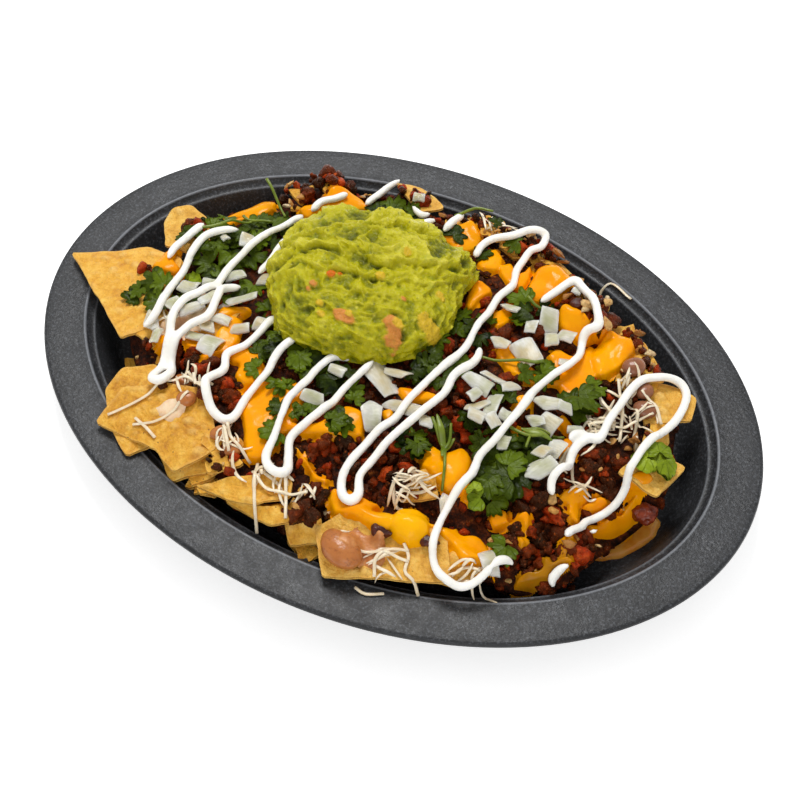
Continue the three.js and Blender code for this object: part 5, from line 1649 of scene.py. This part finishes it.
def make_guacamole():
    sides, rings = 270, 140
    p = guacamole_dome(sides, rings)
    normal = (p - (GUAC_X, GUAC_Y, 34.0)) * (1, 1, 2.4)
    normal /= np.linalg.norm(normal, axis=1)[:, None]
    move = guacamole_relief(p)
    shares = {}
    for name, spots in GUAC_SPOTS.items():
        share = np.zeros(len(p))
        for x, y, size in spots:
            d = np.hypot(p[:, 0] - x, (p[:, 1] - y) * 1.15) / size + 0.34 * fbm(p, 3, 2, 33)
            share = np.maximum(share, np.clip((1.0 - d) * 5, 0, 0.9))
        shares[name] = share * (p[:, 2] > 44)
        move = move * (1 - 0.55 * share) + 0.9 * shares[name]  # a smooth piece that stands out a little
    move = np.clip(move, -3.4, 3.6)
    cap = np.arange(sides)
    faces = [wrap_grid(rings, sides), np.array([cap[::-1], cap + (rings - 1) * sides])]
    # how far each point stands out, which the material turns into painted shade in the creases and painted
    # highlight on the folds
    height = np.clip(0.5 + move / 5, 0, 1)
    verts = p + normal * move[:, None]
    ob = build("guacamole_scoop", verts, faces, guacamole_look(), height=height, **shares)
    finish_piece(ob, "guacamole", "guacamole")


# ------------------------------------------------------------------ puddle of thin sauce

POOL = [
    (104, -30), (110, -32), (116, -31.4), (121.5, -29), (127, -25), (131, -20), (134, -14), (136.4, -7),
    (136, 1), (130, 4), (118, 2), (104, -8),
]


def make_puddle():
    x, y = np.meshgrid(np.arange(98, 144, 0.7), np.arange(-44, 12, 0.7))
    d = depth_inside(x, y, closed_curve(POOL)) + 0.8 * fbm(flat(x, y), 7, 2, 77).reshape(x.shape)
    top = 2.9 + np.where(d > 0, 1.9 * np.sqrt(np.clip(1 - (1 - np.clip(d / 3, 0, 1)) ** 2, 0, 1)), 0.5 * d)
    top += 0.12 * noise(flat(x, y), 5, 78).reshape(x.shape)
    verts, faces = sheet(x, y, top, d > -1.2)
    look = plain_food("thin_sauce", rgb(240, 140, 30), rgb(254, 184, 84), 9, 0.08, 0.3, 0.2, 5)
    finish_piece(build("sauce_pool", verts, faces, look), "thin_sauce", "sauce_puddle")


make_chips()
make_chorizo()
make_bits()
make_sauce()
make_beans()
make_peppers()
make_smears()
make_shreds()
make_leaves()
make_stalks()
make_onions()
make_crema()
make_guacamole()
make_puddle()

# ------------------------------------------------------------------ stage, lights and camera

FLOOR_HALF_SIDE = 4000
FLOOR_DROP = -0.02  # so little under the platter that it doesn't show
WORLD_LIGHT = 0.52


def make_stage():
    corners = np.array([(-1, -1), (1, -1), (1, 1), (-1, 1)]) * FLOOR_HALF_SIDE
    corners = np.column_stack([corners, np.full(4, FLOOR_DROP)])
    k = Look("floor_paper", Roughness=0.9, Specular_IOR_Level=0.1, Emission_Color=(1, 1, 1, 1),
             Emission_Strength=0.56)
    colour = k.ramp(k.noise(40, 3), (0.3, rgb(246, 246, 246)), (0.7, rgb(250, 250, 250)))
    build("floor", corners, np.array([[0, 1, 2, 3]]), k.done(colour, k.bump(k.noise(3, 2), 0.02)))
    world = bpy.data.worlds.new("studio")
    bpy.context.scene.world = world
    world.use_nodes = True
    background = world.node_tree.nodes["Background"]
    background.inputs["Color"].default_value = (1, 1, 1, 1)
    background.inputs["Strength"].default_value = WORLD_LIGHT


def area_light(name, place, target, size, power):
    """A round lamp that points at a target, in metres and watts."""
    lamp = bpy.data.lights.new(name, "AREA")
    lamp.shape = "DISK"
    lamp.size = size
    lamp.energy = power
    ob = bpy.data.objects.new(name, lamp)
    ob.location = place
    ob.rotation_euler = (Vector(target) - Vector(place)).to_track_quat("-Z", "Y").to_euler()
    bpy.context.scene.collection.objects.link(ob)


def make_camera():
    data = bpy.data.cameras.new("camera")
    data.lens = 58.5
    data.sensor_width = 36
    data.clip_start, data.clip_end = 0.01, 20
    ob = bpy.data.objects.new("camera", data)
    ob.location = Vector((195.4, -306.5, 475.5)) * MM
    target = Vector((15.2, -15.9, 25.0)) * MM
    ob.rotation_euler = (target - ob.location).to_track_quat("-Z", "Y").to_euler()
    bpy.context.scene.collection.objects.link(ob)
    bpy.context.scene.camera = ob


make_stage()
area_light("key", (-0.32, 0.42, 0.98), (0, 0, 0.03), 0.42, 8.2)
area_light("fill", (0.5, -1.0, 0.55), (0, 0, 0.03), 0.8, 3.3)
make_camera()
bpy.context.scene.view_settings.view_transform = "Standard"
